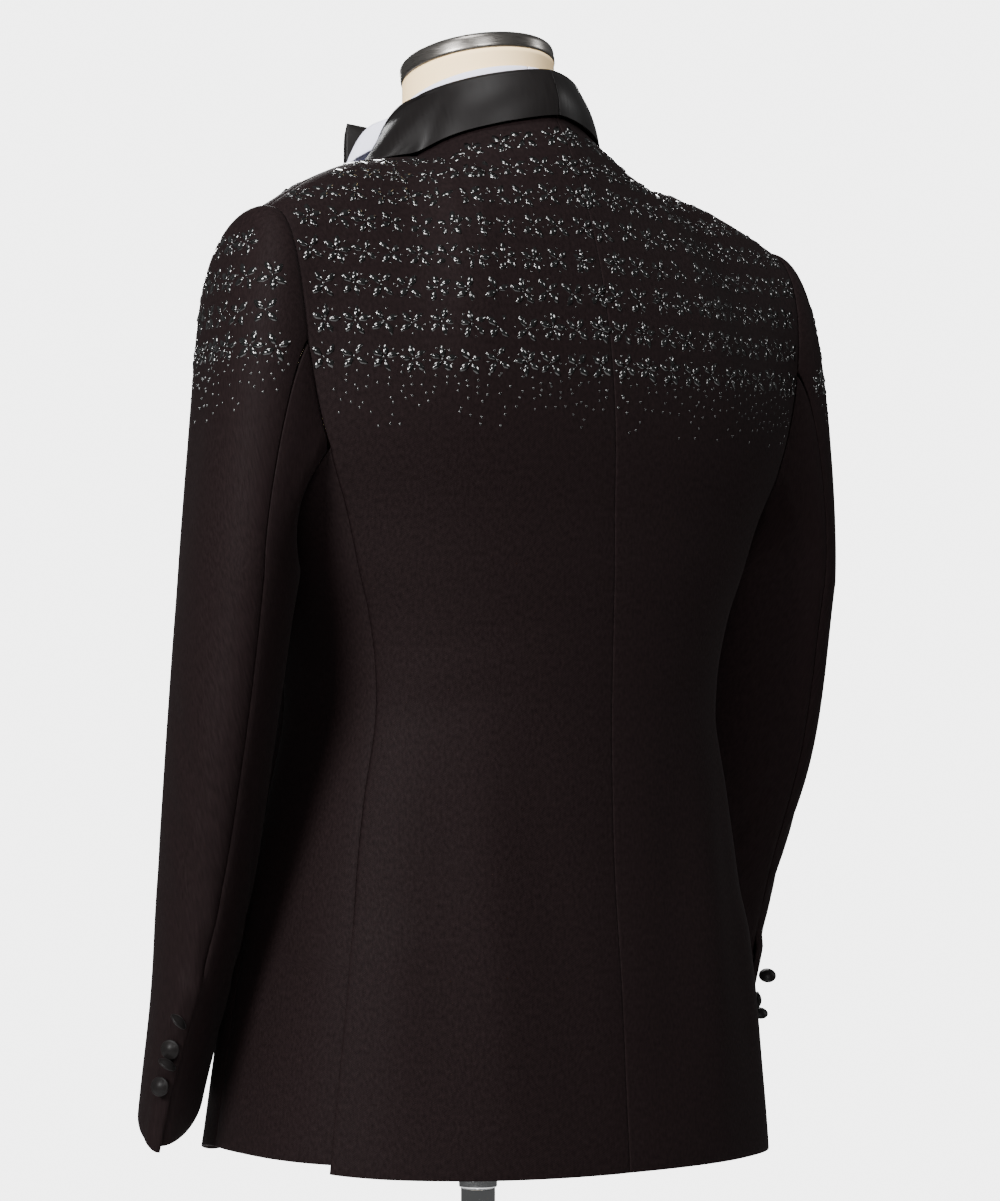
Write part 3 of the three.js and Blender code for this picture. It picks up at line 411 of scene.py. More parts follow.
def seamShare(along):
    # Half the gap between the two sleeve pieces, as a share of the way round.
    return mix(0.0022, 0.0009, ramp(0, 0.14, along))


def topSleeve(u, along, side=1):
    # Round the outside from the forearm seam to the hindarm seam. In the cuff's vent it is lifted over the
    # under sleeve, and its corner hangs a little lower.
    start = read(sleeveSeams, "along", "forearm", along) - 1 + seamShare(along)
    end = read(sleeveSeams, "along", "hindarm", along) - seamShare(along)
    vent = sleeve["ventAlong"]
    lift = sleeve["ventLift"] * ramp(0.8, 0.9, u) * ramp(vent - 0.03, vent - 0.005, along)
    return sleeveSurface(mix(start, end, u), along, lift, sleeve["tipDrop"] * ramp(0.84, 0.98, u))


def underSleeve(u, along, side=1):
    # The rest of the way round. In the vent it runs on under the top sleeve.
    vent = sleeve["ventAlong"]
    lap = sleeve["ventLap"] * ramp(vent, vent + 0.02, along)
    start = read(sleeveSeams, "along", "hindarm", along) + seamShare(along) - lap
    end = read(sleeveSeams, "along", "forearm", along) - seamShare(along)
    return sleeveSurface(mix(start, end, u), along)


def surfaceNormal(surface, u, v, side, step=0.01):
    # The cross product of the two directions of the surface, turned to point away from the body.
    u, v = np.broadcast_arrays(np.asarray(u, float), np.asarray(v, float))
    across = surface(np.minimum(u + step, 1), v, side) - surface(np.maximum(u - step, 0), v, side)
    along = surface(u, np.minimum(v + step, 1), side) - surface(u, np.maximum(v - step, 0), side)
    normal = unit(np.cross(across, along))
    p = surface(u, v, side)
    outward = point(p[..., 0] * 0.4, p[..., 1] - 20, 30)
    return normal * np.where(dot(normal, outward) < 0, -1, 1)


# The shawl collar: stations run from the centre back (0) by the neck point (1) to the lapel's end (2).
collar = {
    "wall": 1.8,
    "roll": 3.2,
    "backLean": 0.12,
    "sideLean": 0.22,
    "backStand": 19,
    "sideStand": 22,
    "standGain": 0.46,
    "lapelStand": 4.4,
    "lift": 1.9,
    "shoulderUp": (0.3, 0, 0.954),
    "standPart": 0.22,
    "foldPart": 0.3,
}
collarEdge = {
    "station": (0, 0.35, 0.6, 0.8, 1),
    "across": (0, 0.15, 0.25, 0.335, 0.47),
    "v": (0.979, 0.9776, 0.9782, 0.983, 1),
}
lapelWidths = {
    "z": (352, 376, 420, 500, 600, 694),
    "width": (7, 38, 68, 78, 62, 32),
}


def frontRowLength(v):
    # Twelve chords along each row of the front panel.
    row = frontSurface(np.linspace(0, 1, 13)[:, None], v[None, :])
    return np.sum(length(np.diff(row, axis=0))[..., 0], axis=0)


def standAt(station):
    # The stand grows as the neck seam drops, so that the fold stays high round the neck.
    dropped = jacket["backNeck"][2] - neckSeam(station)[:, 2]
    return mix(collar["backStand"], collar["sideStand"], station) + collar["standGain"] * dropped


def backStations(station, side):
    # Where the collar stands up from the back neck: its seam, its two directions and its outer edge.
    seam = neckSeam(station)
    outward = unit(seam * (1, 1, 0))
    lean = mix(collar["backLean"], collar["sideLean"], station)[:, None]
    up = unit(np.array((0, 0, 1)) - outward * lean)
    across = read(collarEdge, "station", "across", station)
    v = read(collarEdge, "station", "v", station)
    upwards = ramp(0.7, 1, station)[:, None]
    lift = mix(surfaceNormal(backSurface, across, v, side), collar["shoulderUp"], upwards)
    edge = backSurface(across, v, side) + collar["lift"] * unit(lift)
    return {
        "seam": seam,
        "up": up,
        "out": unit(outward - up * dot(outward, up)),
        "stand": standAt(station),
        "edge": edge,
        "follow": 0 * station,
        "v": 0 * station + 1,
        "share": 0 * station,
    }


def frontStations(station, side):
    # Where the lapel turns back along the front edge.
    down = station - 1
    lowest = jacket["frontSplit"] * jacket["breakUp"] / jacket["frontTop"]
    v = mix(1, lowest, down)
    seam = frontSurface(1, v, side)
    share = read(lapelWidths, "z", "width", seam[:, 2]) / frontRowLength(v)
    normal = surfaceNormal(frontSurface, 1, v, side)
    inFront = unit(seam - frontSurface(0.97, v, side))
    neckOut = unit(np.array(jacket["neckPoint"]) * (1, 1, 0))
    neckUp = unit(np.array((0, 0, 1)) - neckOut * collar["sideLean"])
    turned = ramp(0.08, 0.5, down)[:, None]
    up = unit(mix(neckUp, inFront, turned))
    out = mix(neckOut, normal, turned)
    upwards = ramp(0.15, 0, down)[:, None]
    lift = mix(surfaceNormal(frontSurface, 1 - share, v, side), collar["shoulderUp"], upwards)
    edge = frontSurface(1 - share, v, side) + collar["lift"] * unit(lift)
    return {
        "seam": seam,
        "up": up,
        "out": unit(out - up * dot(out, up)),
        "stand": mix(standAt(0 * down + 1), collar["lapelStand"], ramp(0, 0.42, down)),
        "edge": edge,
        "follow": ramp(0, 0.25, down),
        "v": v,
        "share": share,
    }


def collarSurface(section, station, side):
    # The cross section stands up from the neck seam, folds over in a half circle and lies on the panels.
    stations = station[:, 0]
    behind = backStations(np.clip(stations, 0, 1), side)
    before = frontStations(np.clip(stations, 1, 2), side)
    at = {}
    for key in behind:
        onBack = stations <= 1
        onBack = onBack[:, None] if behind[key].ndim == 2 else onBack
        at[key] = np.where(onBack, behind[key], before[key])[:, None]
    stand, roll = at["stand"], collar["roll"]
    standPart, foldPart = collar["standPart"], collar["foldPart"]

    def place(rise, away):
        return at["seam"] + at["up"] * rise[..., None] + at["out"] * away[..., None]

    t = np.clip(section / standPart, 0, 1)
    standing = place(mix(np.minimum(1.4, stand - 2.6), stand, t), mix(-2.6, -roll, t))
    turn = np.pi * np.clip((section - standPart) / foldPart, 0, 1) - np.pi / 2
    folded = place(stand + roll * np.cos(turn), roll * np.sin(turn))
    t = np.clip((section - standPart - foldPart) / (1 - standPart - foldPart), 0, 1)
    follow = at["follow"]
    chord = mix(place(stand, 0 * stand + roll), at["edge"], t[..., None])
    chord = chord + at["out"] * (2.2 * np.sin(np.pi * t) * (1 - follow))[..., None]
    across = 1 - at["share"] * t
    v = at["v"] + 0 * t
    laid = frontSurface(across, v, side)
    laid = laid + surfaceNormal(frontSurface, across, v, side) * mix(roll + 0.6, collar["lift"], t)[..., None]
    laid = laid + at["up"] * (stand * (1 - t) ** 3)[..., None]
    falling = mix(chord, laid, (follow + 0 * t)[..., None])
    lying = np.where((section <= standPart + foldPart)[..., None], folded, falling)
    return np.where((section <= standPart)[..., None], standing, lying)


# Closed walls from surfaces
def meshFrom(name, points, faceLists, material, uv=None, smooth=True):
    # points is (n, 3) in millimetres from the floor, and each face list is (m, 3) or (m, 4) corner numbers.
    mesh = bpy.data.meshes.new(name)
    corners = np.concatenate([faces.ravel() for faces in faceLists])
    counts = np.concatenate([np.full(len(faces), faces.shape[1]) for faces in faceLists])
    mesh.vertices.add(len(points))
    mesh.vertices.foreach_set("co", (points * metre).ravel())
    mesh.loops.add(len(corners))
    mesh.loops.foreach_set("vertex_index", corners)
    mesh.polygons.add(len(counts))
    mesh.polygons.foreach_set("loop_start", np.concatenate(([0], np.cumsum(counts)[:-1])))
    mesh.polygons.foreach_set("use_smooth", np.full(len(counts), smooth))
    mesh.update(calc_edges=True)
    if uv is not None:
        layer = mesh.uv_layers.new(name="cloth")
        layer.data.foreach_set("uv", uv[corners].ravel())
    mesh.materials.append(material)
    piece = bpy.data.objects.new(name, mesh)
    bpy.context.scene.collection.objects.link(piece)
    return piece


def facesOut(points, faceLists):
    # Six times the volume within the faces is the sum of each fan's triple products. If it is negative,
    # every face turns round.
    volume = 0
    for faces in faceLists:
        a, b, c, d = (points[faces[:, k % faces.shape[1]]] for k in (0, 1, 2, -1))
        volume += np.sum(a * np.cross(b, c))
        if faces.shape[1] == 4:
            volume += np.sum(a * np.cross(c, d))
    return faceLists if volume > 0 else [faces[:, ::-1] for faces in faceLists]


def edgeShares(count, span, radius):
    # Even shares with three more beside each end, so that a wall's edge can be round.
    ends = np.array((0, 0.12, 0.45, 1)) * radius / span
    return np.concatenate((ends, np.linspace(ends[-1], 1 - ends[-1], count)[1:-1], 1 - ends[::-1]))


def arcLengths(points, axis):
    # How far each point lies along its row or column, from the first one.
    steps = np.linalg.norm(np.diff(points, axis=axis), axis=-1)
    start = np.zeros_like(np.take(steps, [0], axis=axis))
    return np.concatenate((start, np.cumsum(steps, axis=axis)), axis=axis)


def gridNormals(points):
    return unit(np.cross(np.gradient(points, axis=1), np.gradient(points, axis=0)))


def creaseDepth(creases, along, across):
    # Each crease is a line between two places, in millimetres along the panel. Its depth falls off as
    # exp(-(distance / width)^2) and fades out at both ends.
    depth = np.zeros_like(along)
    for startX, startY, endX, endY, width, deep in creases:
        runX, runY = endX - startX, endY - startY
        share = ((across - startX) * runX + (along - startY) * runY) / (runX**2 + runY**2)
        held = np.clip(share, 0, 1)
        away = np.hypot(across - startX - held * runX, along - startY - held * runY)
        depth += deep * np.sin(np.pi * held) ** 0.7 * np.exp(-((away / width) ** 2))
    return depth


def clothWall(name, points, wall, inwards, material, creases=(), seamDip=0.0, dipWidth=5.0):
    # The outer face is the grid moved in by its creases, and the inner face lies a wall further in. Near an
    # edge the outer face rounds inwards: r - sqrt(r^2 - (r - d)^2) at a distance d under r.
    across = arcLengths(points, 1)
    along = arcLengths(points, 0)
    inner = inwards * gridNormals(points)
    edge = np.minimum(across, across[:, -1:] - across)
    seam = edge.copy()
    edge = np.minimum(edge, np.minimum(along, along[-1:] - along))
    depth = creaseDepth(creases, along, across) + seamDip * np.exp(-((seam / dipWidth) ** 2))
    outer = points + inner * depth[..., None]
    radius = wall / 2
    near = np.clip(radius - edge, 0, radius)
    rounding = 0.92 * (radius - np.sqrt(radius**2 - near**2))
    face = outer + inner * rounding[..., None]
    back = outer + inner * wall
    rows, columns = edge.shape
    count = rows * columns
    number = np.arange(count).reshape(rows, columns)
    quads = np.stack((number[:-1, :-1], number[:-1, 1:], number[1:, 1:], number[1:, :-1]), -1).reshape(-1, 4)
    rim = np.concatenate((number[0, :], number[1:, -1], number[-1, -2::-1], number[-2:0:-1, 0]))
    onwards = np.roll(rim, -1)
    sides = np.stack((onwards, rim, rim + count, onwards + count), -1)
    faces = [np.concatenate((quads, quads[:, ::-1] + count, sides))]
    shell = np.concatenate((face.reshape(-1, 3), back.reshape(-1, 3)))
    shell[:, 2] += jacket["hem"]
    uv = np.stack((across, along), -1).reshape(-1, 2) * metre
    return meshFrom(name, shell, facesOut(shell, faces), material, np.concatenate((uv, uv)))


def mirrored(points, side):
    return points * (side, 1, 1)


def finishPiece(piece, slot, *nodes):
    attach(piece, "root")
    if nodes:
        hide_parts(*nodes)
    return piece


# Materials
def newMaterial(name):
    material = bpy.data.materials.new(name)
    material.use_nodes = True
    nodes = material.node_tree.nodes
    return material, nodes, material.node_tree.links, nodes["Principled BSDF"]


def noiseOn(nodes, links, source, scale, detail=3.0, stretch=(1, 1, 1)):
    mapping = nodes.new("ShaderNodeMapping")
    mapping.inputs["Scale"].default_value = stretch
    noise = nodes.new("ShaderNodeTexNoise")
    noise.inputs["Scale"].default_value = scale
    noise.inputs["Detail"].default_value = detail
    links.new(source, mapping.inputs["Vector"])
    links.new(mapping.outputs["Vector"], noise.inputs["Vector"])
    return noise.outputs["Fac"]


def between(nodes, links, factor, low, high):
    # A value that runs from low to high as the factor runs from 0.3 to 0.7.
    spread = nodes.new("ShaderNodeMapRange")
    spread.inputs["From Min"].default_value = 0.3
    spread.inputs["From Max"].default_value = 0.7
    spread.inputs["To Min"].default_value = low
    spread.inputs["To Max"].default_value = high
    links.new(factor, spread.inputs["Value"])
    return spread.outputs["Result"]


def colours(nodes, links, factor, low, high):
    blend = nodes.new("ShaderNodeMix")
    blend.data_type = "RGBA"
    blend.inputs["A"].default_value = (*low, 1)
    blend.inputs["B"].default_value = (*high, 1)
    links.new(factor, blend.inputs["Factor"])
    return blend.outputs["Result"]


def bumpFrom(nodes, links, height, strength, distance, below=None):
    bump = nodes.new("ShaderNodeBump")
    bump.inputs["Strength"].default_value = strength
    bump.inputs["Distance"].default_value = distance * metre
    links.new(height, bump.inputs["Height"])
    if below is not None:
        links.new(below, bump.inputs["Normal"])
    return bump.outputs["Normal"]


def twill(nodes, links, source, pitch, turn):
    # Diagonal bands of one thread's pitch, in millimetres.
    mapping = nodes.new("ShaderNodeMapping")
    mapping.inputs["Rotation"].default_value = (0, 0, math.radians(turn))
    wave = nodes.new("ShaderNodeTexWave")
    wave.inputs["Scale"].default_value = math.tau / (20 * pitch * metre)
    wave.inputs["Distortion"].default_value = 0.6
    wave.inputs["Detail"].default_value = 1
    links.new(source, mapping.inputs["Vector"])
    links.new(mapping.outputs["Vector"], wave.inputs["Vector"])
    return wave.outputs["Fac"]


def makeMaterial(name, plan):
    # One noise blends the two colours and another the roughness. Bumps lie one upon the other.
    material, nodes, links, shader = newMaterial(name)
    where = nodes.new("ShaderNodeTexCoord")
    noises = {}
    for key, (space, *how) in plan["noises"].items():
        noises[key] = noiseOn(nodes, links, where.outputs[space], *how)
    if "twill" in plan:
        noises["twill"] = twill(nodes, links, where.outputs["UV"], *plan["twill"])
    key, low, high = plan["colour"]
    links.new(colours(nodes, links, noises[key], low, high), shader.inputs["Base Color"])
    if "roughness" in plan:
        key, low, high = plan["roughness"]
        links.new(between(nodes, links, noises[key], low, high), shader.inputs["Roughness"])
    normal = None
    for key, strength, distance in plan.get("bumps", ()):
        normal = bumpFrom(nodes, links, noises[key], strength, distance, normal)
        links.new(normal, shader.inputs["Normal"])
    for key, value in plan.get("fixed", {}).items():
        shader.inputs[key].default_value = value
    return material


# Each noise: the coordinates it reads, its scale, detail and stretch. A twill is its pitch and turn.
woolMaterial = makeMaterial("fine_black_wool", {
    "noises": {"flecks": ("UV", 460, 2, (1, 0.6, 1)), "fibres": ("UV", 900, 2, (1, 0.35, 1))},
    "twill": (1.1, 63),
    "colour": ("flecks", (0.0018, 0.0008, 0.0009), (0.0096, 0.0058, 0.0060)),
    "roughness": ("fibres", 0.62, 0.78),
    "bumps": (("twill", 0.22, 0.12), ("fibres", 0.25, 0.15)),
    "fixed": {
        "Sheen Weight": 0.006, "Sheen Roughness": 0.45, "Sheen Tint": (0.75, 0.68, 0.68, 1),
        "Specular IOR Level": 0.035,
    },
})
satin = makeMaterial("black_satin_weave", {
    "noises": {
        "streaks": ("UV", 60, 4, (1, 9, 1)),
        "threads": ("UV", 700, 2, (1, 5, 1)),
        "drape": ("Object", 16, 2, (1, 1, 1.8)),
    },
    "colour": ("streaks", (0.0044, 0.0038, 0.0038), (0.0070, 0.0062, 0.0061)),
    "roughness": ("streaks", 0.36, 0.46),
    "bumps": (("drape", 0.3, 1.4), ("threads", 0.12, 0.06)),
    "fixed": {"Specular IOR Level": 0.06, "Sheen Weight": 0.02, "Sheen Roughness": 0.3},
})
poplin = makeMaterial("white_shirt_poplin", {
    "noises": {"cloud": ("Object", 20), "threads": ("UV", 1500, 2, (1, 0.4, 1))},
    "colour": ("cloud", (0.58, 0.58, 0.70), (0.64, 0.64, 0.76)),
    "roughness": ("threads", 0.7, 0.85),
    "bumps": (("threads", 0.3, 0.12),),
    "fixed": {"Subsurface Weight": 0.08, "Subsurface Radius": (0.002, 0.002, 0.002)},
})
jersey = makeMaterial("cream_form_jersey", {
    "noises": {"cloud": ("Object", 14), "knit": ("Object", 1100, 2, (1, 1, 0.4))},
    "colour": ("cloud", (0.93, 0.66, 0.33), (0.97, 0.73, 0.41)),
    "roughness": ("knit", 0.7, 0.88),
    "bumps": (("knit", 0.35, 0.15),),
})
smoked = makeMaterial("smoked_cap_metal", {
    "noises": {"brush": ("Object", 120, 3, (1, 1, 14)), "cloud": ("Object", 30)},
    "colour": ("cloud", (0.085, 0.080, 0.075), (0.145, 0.135, 0.125)),
    "roughness": ("brush", 0.24, 0.38),
    "bumps": (("brush", 0.1, 0.05),),
    "fixed": {"Metallic": 0.9},
})
chrome = makeMaterial("polished_chrome", {
    "noises": {"smudge": ("Object", 25), "fine": ("Object", 300, 2, (1, 1, 0.2))},
    "colour": ("smudge", (0.56, 0.57, 0.58), (0.64, 0.65, 0.66)),
    "roughness": ("smudge", 0.07, 0.16),
    "bumps": (("fine", 0.04, 0.03),),
    "fixed": {"Metallic": 1},
})
jet = makeMaterial("black_cut_glass", {
    "noises": {"cloud": ("Object", 120)},
    "colour": ("cloud", (0.002, 0.002, 0.002), (0.006, 0.006, 0.006)),
    "roughness": ("cloud", 0.08, 0.15),
    "fixed": {"Specular IOR Level": 0.6, "Coat Weight": 0.15, "Coat Roughness": 0.08},
})
print("materials made")


# Jacket panels: columns across and rows along, the span in millimetres that the columns share, the cut
# size and area in metres, and creases by place, width and depth. A crease of negative depth is a ridge.
panels = {
    "back": {
        "surface": backSurface, "across": 44, "along": 140, "span": (220, 730),
        "top": 0.9995, "flat": (0.27, 0.76), "area": 0.157,
        "creases": [
            (40, 20, 70, 330, 22, 1.6), (95, 0, 100, 260, 16, -1.4), (150, 10, 120, 330, 20, 1.8),
            (170, 300, 60, 330, 14, 0.9), (160, 345, 40, 372, 12, 0.7),
        ],
    },
    "side": {
        "surface": sideSurface, "across": 20, "along": 96, "span": (135, 470),
        "top": 1, "flat": (0.15, 0.48), "area": 0.056,
        "creases": [(20, 290, 110, 330, 12, 0.9), (10, 330, 100, 300, 10, 0.6), (60, 0, 70, 220, 20, 1.0)],
    },
    "front": {
        "surface": frontSurface, "across": 44, "along": 140, "span": (220, 715),
        "top": 0.9995, "flat": (0.30, 0.75), "area": 0.150,
        "creases": [
            (20, 250, 190, 315, 16, 1.3), (15, 350, 180, 325, 14, 1.0), (60, 0, 80, 250, 24, 1.4),
        ],
    },
    "top_sleeve": {
        "surface": topSleeve, "across": 44, "along": 124, "span": (210, 650),
        "top": 1, "flat": (0.24, 0.66), "area": 0.130,
        "creases": [
            (190, 380, 120, 330, 12, 1.6), (195, 425, 110, 400, 13, 1.4), (185, 470, 90, 455, 11, 1.0),
            (20, 330, 80, 390, 14, 1.5), (15, 380, 85, 430, 12, 1.2), (150, 90, 130, 300, 20, 1.2),
            (60, 480, 70, 600, 18, 1.0),
        ],
    },
    "under_sleeve": {
        "surface": underSleeve, "across": 30, "along": 124, "span": (150, 560),
        "top": 1, "flat": (0.17, 0.56), "area": 0.080,
        "creases": [
            (10, 250, 100, 300, 12, 1.7), (10, 300, 110, 330, 10, 1.2), (8, 345, 90, 370, 11, 1.1),
            (140, 200, 60, 260, 13, 1.4), (70, 20, 80, 180, 16, 1.5),
        ],
    },
}
sides = {"left": 1, "right": -1}


def makePanel(kind, name, side):
    plan = panels[kind]
    columns = edgeShares(plan["across"], plan["span"][0], jacket["wall"] / 2)
    rows = edgeShares(plan["along"], plan["span"][1], jacket["wall"] / 2) * plan["top"]
    points = mirrored(plan["surface"](columns[None, :], rows[:, None], side), side)
    piece = clothWall(
        f"{kind}_{name}_cloth", points, jacket["wall"], side, woolMaterial, plan["creases"], 0.5
    )
    finishPiece(piece, "jacket_cloth", f"{kind}_{name}")


for name, side in sides.items():
    for kind in panels:
        makePanel(kind, name, side)
print("jacket panels made")

collarPlan = {
    "sections": 40,
    "backRows": 46,
    "frontRows": 96,
    "easing": 40,
    "flat": (0.10, 0.60),
    "area": 0.050,
    "creases": [
        (70, 240, 45, 340, 22, 0.8),
        (85, 330, 60, 430, 18, -0.7),
    ],
}


def easedRows(points, rows, sections):
    # Rows near the neck point move towards the mean of their neighbours, most in the middle of the fall.
    near = np.exp(-(((rows - 1) / 0.12) ** 2))[:, None]
    weight = near * ramp(0.42, 0.6, sections) * (1 - 0.35 * ramp(0.9, 1, sections))
    for _ in range(collarPlan["easing"]):
        pull = points[:-2] + points[2:] - 2 * points[1:-1]
        points[1:-1] += 0.45 * weight[1:-1, :, None] * pull
    return points


def makeCollar(name, side):
    # Columns crowd in the fold, and rows run along the collar from the centre back.
    radius = collar["wall"] / 2
    sections = edgeShares(collarPlan["sections"], 95, radius)
    back = np.linspace(0.004, 1, collarPlan["backRows"])
    front = np.linspace(1, 2, collarPlan["frontRows"])[1:]
    edge = np.array((0, 0.12, 0.45, 1)) * radius / 120
    rows = np.concatenate((0.004 + edge, back[2:], front[:-1], 2 - edge[::-1]))
    points = easedRows(collarSurface(sections[None, :], rows[:, None], side), rows, sections)
    points = mirrored(points, side)
    piece = clothWall(
        f"collar_{name}_satin", points, collar["wall"], -side, satin, collarPlan["creases"]
    )
    finishPiece(piece, "black_satin", f"collar_{name}")


for name, side in sides.items():
    makeCollar(name, side)
print("collar made")


# Shirt front: a stand round the neck, a turned down collar in two leaves and two halves of the front.
shirt = {
    "wall": 1.2,
    "stand": 54.7,
    "topMiddle": 742,
    "topTilt": 19,
    "standDeep": 36,
    "leafGap": 1.2,
    "bibSplit": 0.45,
    "bibFoot": 268,
}


# How far each leaf stands off the neck at its lower edge, and how deep it is, by the angle from the back
leafTable = {
    "angle": (0, 90, 104, 113, 120, 127, 135, 145, 155, 172),
    "out": (4, 4, 5, 5.2, 14, 38, 37, 22, 13, 8),
    "drop": (34, 34, 32, 26, 22, 33, 45, 50, 52, 54),
}


def collarTopUp(angle):
    return shirt["topMiddle"] + shirt["topTilt"] * np.cos(np.radians(angle))


def shirtStand(u, v):
    # A band of a cylinder that widens 0.6 mm downwards, whose top is tilted with the neck.
    angle = mix(6, 354, u)
    top = collarTopUp(angle)
    z = mix(top - shirt["standDeep"], top - 3.4, v)
    radius = shirt["stand"] + 1.6 + 0.6 * (1 - v)
    return point(radius * np.sin(np.radians(angle)), radius * np.cos(np.radians(angle)), z)


def shirtLeaf(u, v):
    # It rolls off the top of the stand as v^0.3 and falls straight down. Its front edge is cut on a slant.
    angle = mix(0.3, 172, u)
    spread = angle - 17 * v * ramp(140, 172, angle)
    z = collarTopUp(angle) - read(leafTable, "angle", "drop", spread) * v
    radius = shirt["stand"] + shirt["leafGap"] + read(leafTable, "angle", "out", spread) * v**0.3
    return point(radius * np.sin(np.radians(spread)), radius * np.cos(np.radians(spread)), z)


def bibSurface(u, v, side):
    # Rings inside the jacket up to the chest, then cubics to the shirt's stand.
    u, v = np.broadcast_arrays(np.asarray(u, float), np.asarray(v, float))
    lap = -7 if side > 0 else 7.5
    under = 0 if side > 0 else 1.6
    split, top = shirt["bibSplit"], jacket["frontTop"]
    x = mix(lap, 118, u)
    middle = ramp(26, 12, np.abs(x))
    inset = mix(9, 12, ramp(0.2, 0.45, v)) + under * middle
    z = mix(shirt["bibFoot"], top, np.clip(v / split, 0, 1))
    below = ringPoint(bodyRings, frontAngle(x * 0.98, z), z, inset)
    foot = ringPoint(bodyRings, frontAngle(x * 0.98, top), top + 0 * x, inset)
    angle = 180 - mix(lap / 60 * 57.3, 62, u**0.9)
    ring = shirt["stand"] + 3.6 - under * middle
    turn = np.radians(angle)
    end = point(ring * np.sin(turn), ring * np.cos(turn), collarTopUp(angle) - shirt["standDeep"] - 0.4)
    reach = length(foot - end)
    leave = point(0, 0.12, 1) * reach * 0.9
    arrive = point(-0.1 * u, 0.3, 0.95) * reach * 0.7
    above = hermite(foot, leave, end, arrive, np.clip((v - split) / (1 - split), 0, 1))
    return np.where((v <= split)[..., None], below, above)


def makeShirt():
    radius = shirt["wall"] / 2
    columns, rows = edgeShares(120, 340, radius), edgeShares(8, 33, radius)
    points = shirtStand(columns[None, :], rows[:, None])
    piece = clothWall("shirt_stand_cotton", points, shirt["wall"], 1, poplin)
    finishPiece(piece, "shirt_cotton", "shirt_stand")
    for name, side in sides.items():
        columns, rows = edgeShares(70, 175, radius), edgeShares(12, 45, radius)
        points = mirrored(shirtLeaf(columns[None, :], rows[:, None]), side)
        piece = clothWall(f"shirt_leaf_{name}_cotton", points, shirt["wall"], -side, poplin)
        finishPiece(piece, "shirt_cotton", f"shirt_leaf_{name}")
        columns, rows = edgeShares(30, 110, radius), edgeShares(70, 430, radius)
        points = mirrored(bibSurface(columns[None, :], rows[:, None], side), side)
        piece = clothWall(f"shirt_front_{name}_cotton", points, shirt["wall"], side, poplin)
        finishPiece(piece, "shirt_cotton", f"shirt_front_{name}")


makeShirt()
print("shirt front made")

bow = {
    "up": 709,
    "front": -65.8,
    "root": 8.6,
    "tip": 60,
}


def closedSurface(name, points, material):
    # A grid that runs round in its columns, with both ends closed by a fan about their middle.
    rows, columns = points.shape[:2]
    number = np.arange(rows * columns).reshape(rows, columns)
    beside = np.roll(number, -1, axis=1)
    quads = np.stack((number[:-1], beside[:-1], beside[1:], number[1:]), -1).reshape(-1, 4)
    count = rows * columns
    foot = np.stack((np.full(columns, count), beside[0], number[0]), -1)
    head = np.stack((np.full(columns, count + 1), number[-1], beside[-1]), -1)
    middles = np.stack((points[0].mean(axis=0), points[-1].mean(axis=0)))
    corners = np.concatenate((points.reshape(-1, 3), middles))
    return meshFrom(name, corners, facesOut(corners, [quads, np.concatenate((foot, head))]), material)


def bowWing(reachShare, turnShare):
    # Each section is a flat oval that widens to the tip, with pleats that die away from the knot.
    reach = mix(bow["root"], bow["tip"], reachShare)
    tall = mix(13, 23, reachShare**0.8) * np.minimum(1, ((1.02 - reachShare) / 0.04) ** 0.5)
    thick = 2.2 + 5.5 * np.sin(np.pi * np.clip(reachShare * 0.85 + 0.08, 0, 1))
    turn = 2 * np.pi * turnShare
    pleats = 0.9 * np.cos(5 * np.pi * np.cos(turn)) * (1 - ramp(0.05, 0.6, reachShare))
    y = bow["front"] - 0.0035 * reach**2 + (thick * 0.55 + pleats) * np.sin(turn)
    return point(reach, y, bow["up"] + tall * signedPower(np.cos(turn), 0.8) + jacket["hem"])


def bowKnot(heightShare, turnShare):
    # A rounded box that swells in its middle.
    turn = 2 * np.pi * turnShare
    end = np.minimum(1, (4 * np.minimum(heightShare, 1 - heightShare) + 0.3)) ** 0.3
    swell = (1 + 0.12 * np.sin(np.pi * heightShare)) * end
    x = 7.2 * swell * signedPower(np.cos(turn), 0.7)
    y = bow["front"] + 8 * swell * signedPower(np.sin(turn), 0.7)
    return point(x, y, bow["up"] + mix(-12, 12, heightShare) + jacket["hem"])


def makeBow():
    reach = np.linspace(0, 1, 40)[:, None]
    around = np.linspace(0, 1, 64, endpoint=False)[None, :]
    for name, side in sides.items():
        piece = closedSurface(f"bow_wing_{name}_satin", mirrored(bowWing(reach, around), side), satin)
        finishPiece(piece, "black_satin", f"bow_wing_{name}")
    piece = closedSurface("bow_knot_satin", bowKnot(np.linspace(0, 1, 18)[:, None], around), satin)
    finishPiece(piece, "black_satin", "bow_knot")


makeBow()
print("bow tie made")


# Buttons: domed discs covered with satin, each on a shank. On each cuff two have flopped over on their
# threads. tip is how far a button leans from the cloth, and toward is which way: 0 is round the sleeve
# to its back and 90 is up.
buttons = {
    "z": (109.7, 89.9, 80.4, 64.1),
    "tip": (78, 18, 78, 22),
    "toward": (44, 180, 58, 165),
    "shank": (1.6, 2.7, 1.6, 3.2),
    "radius": 6.6,
    "across": 0.92,
    "frontRadius": 10,
    "frontShank": 2,
    "clear": 0.5,
}


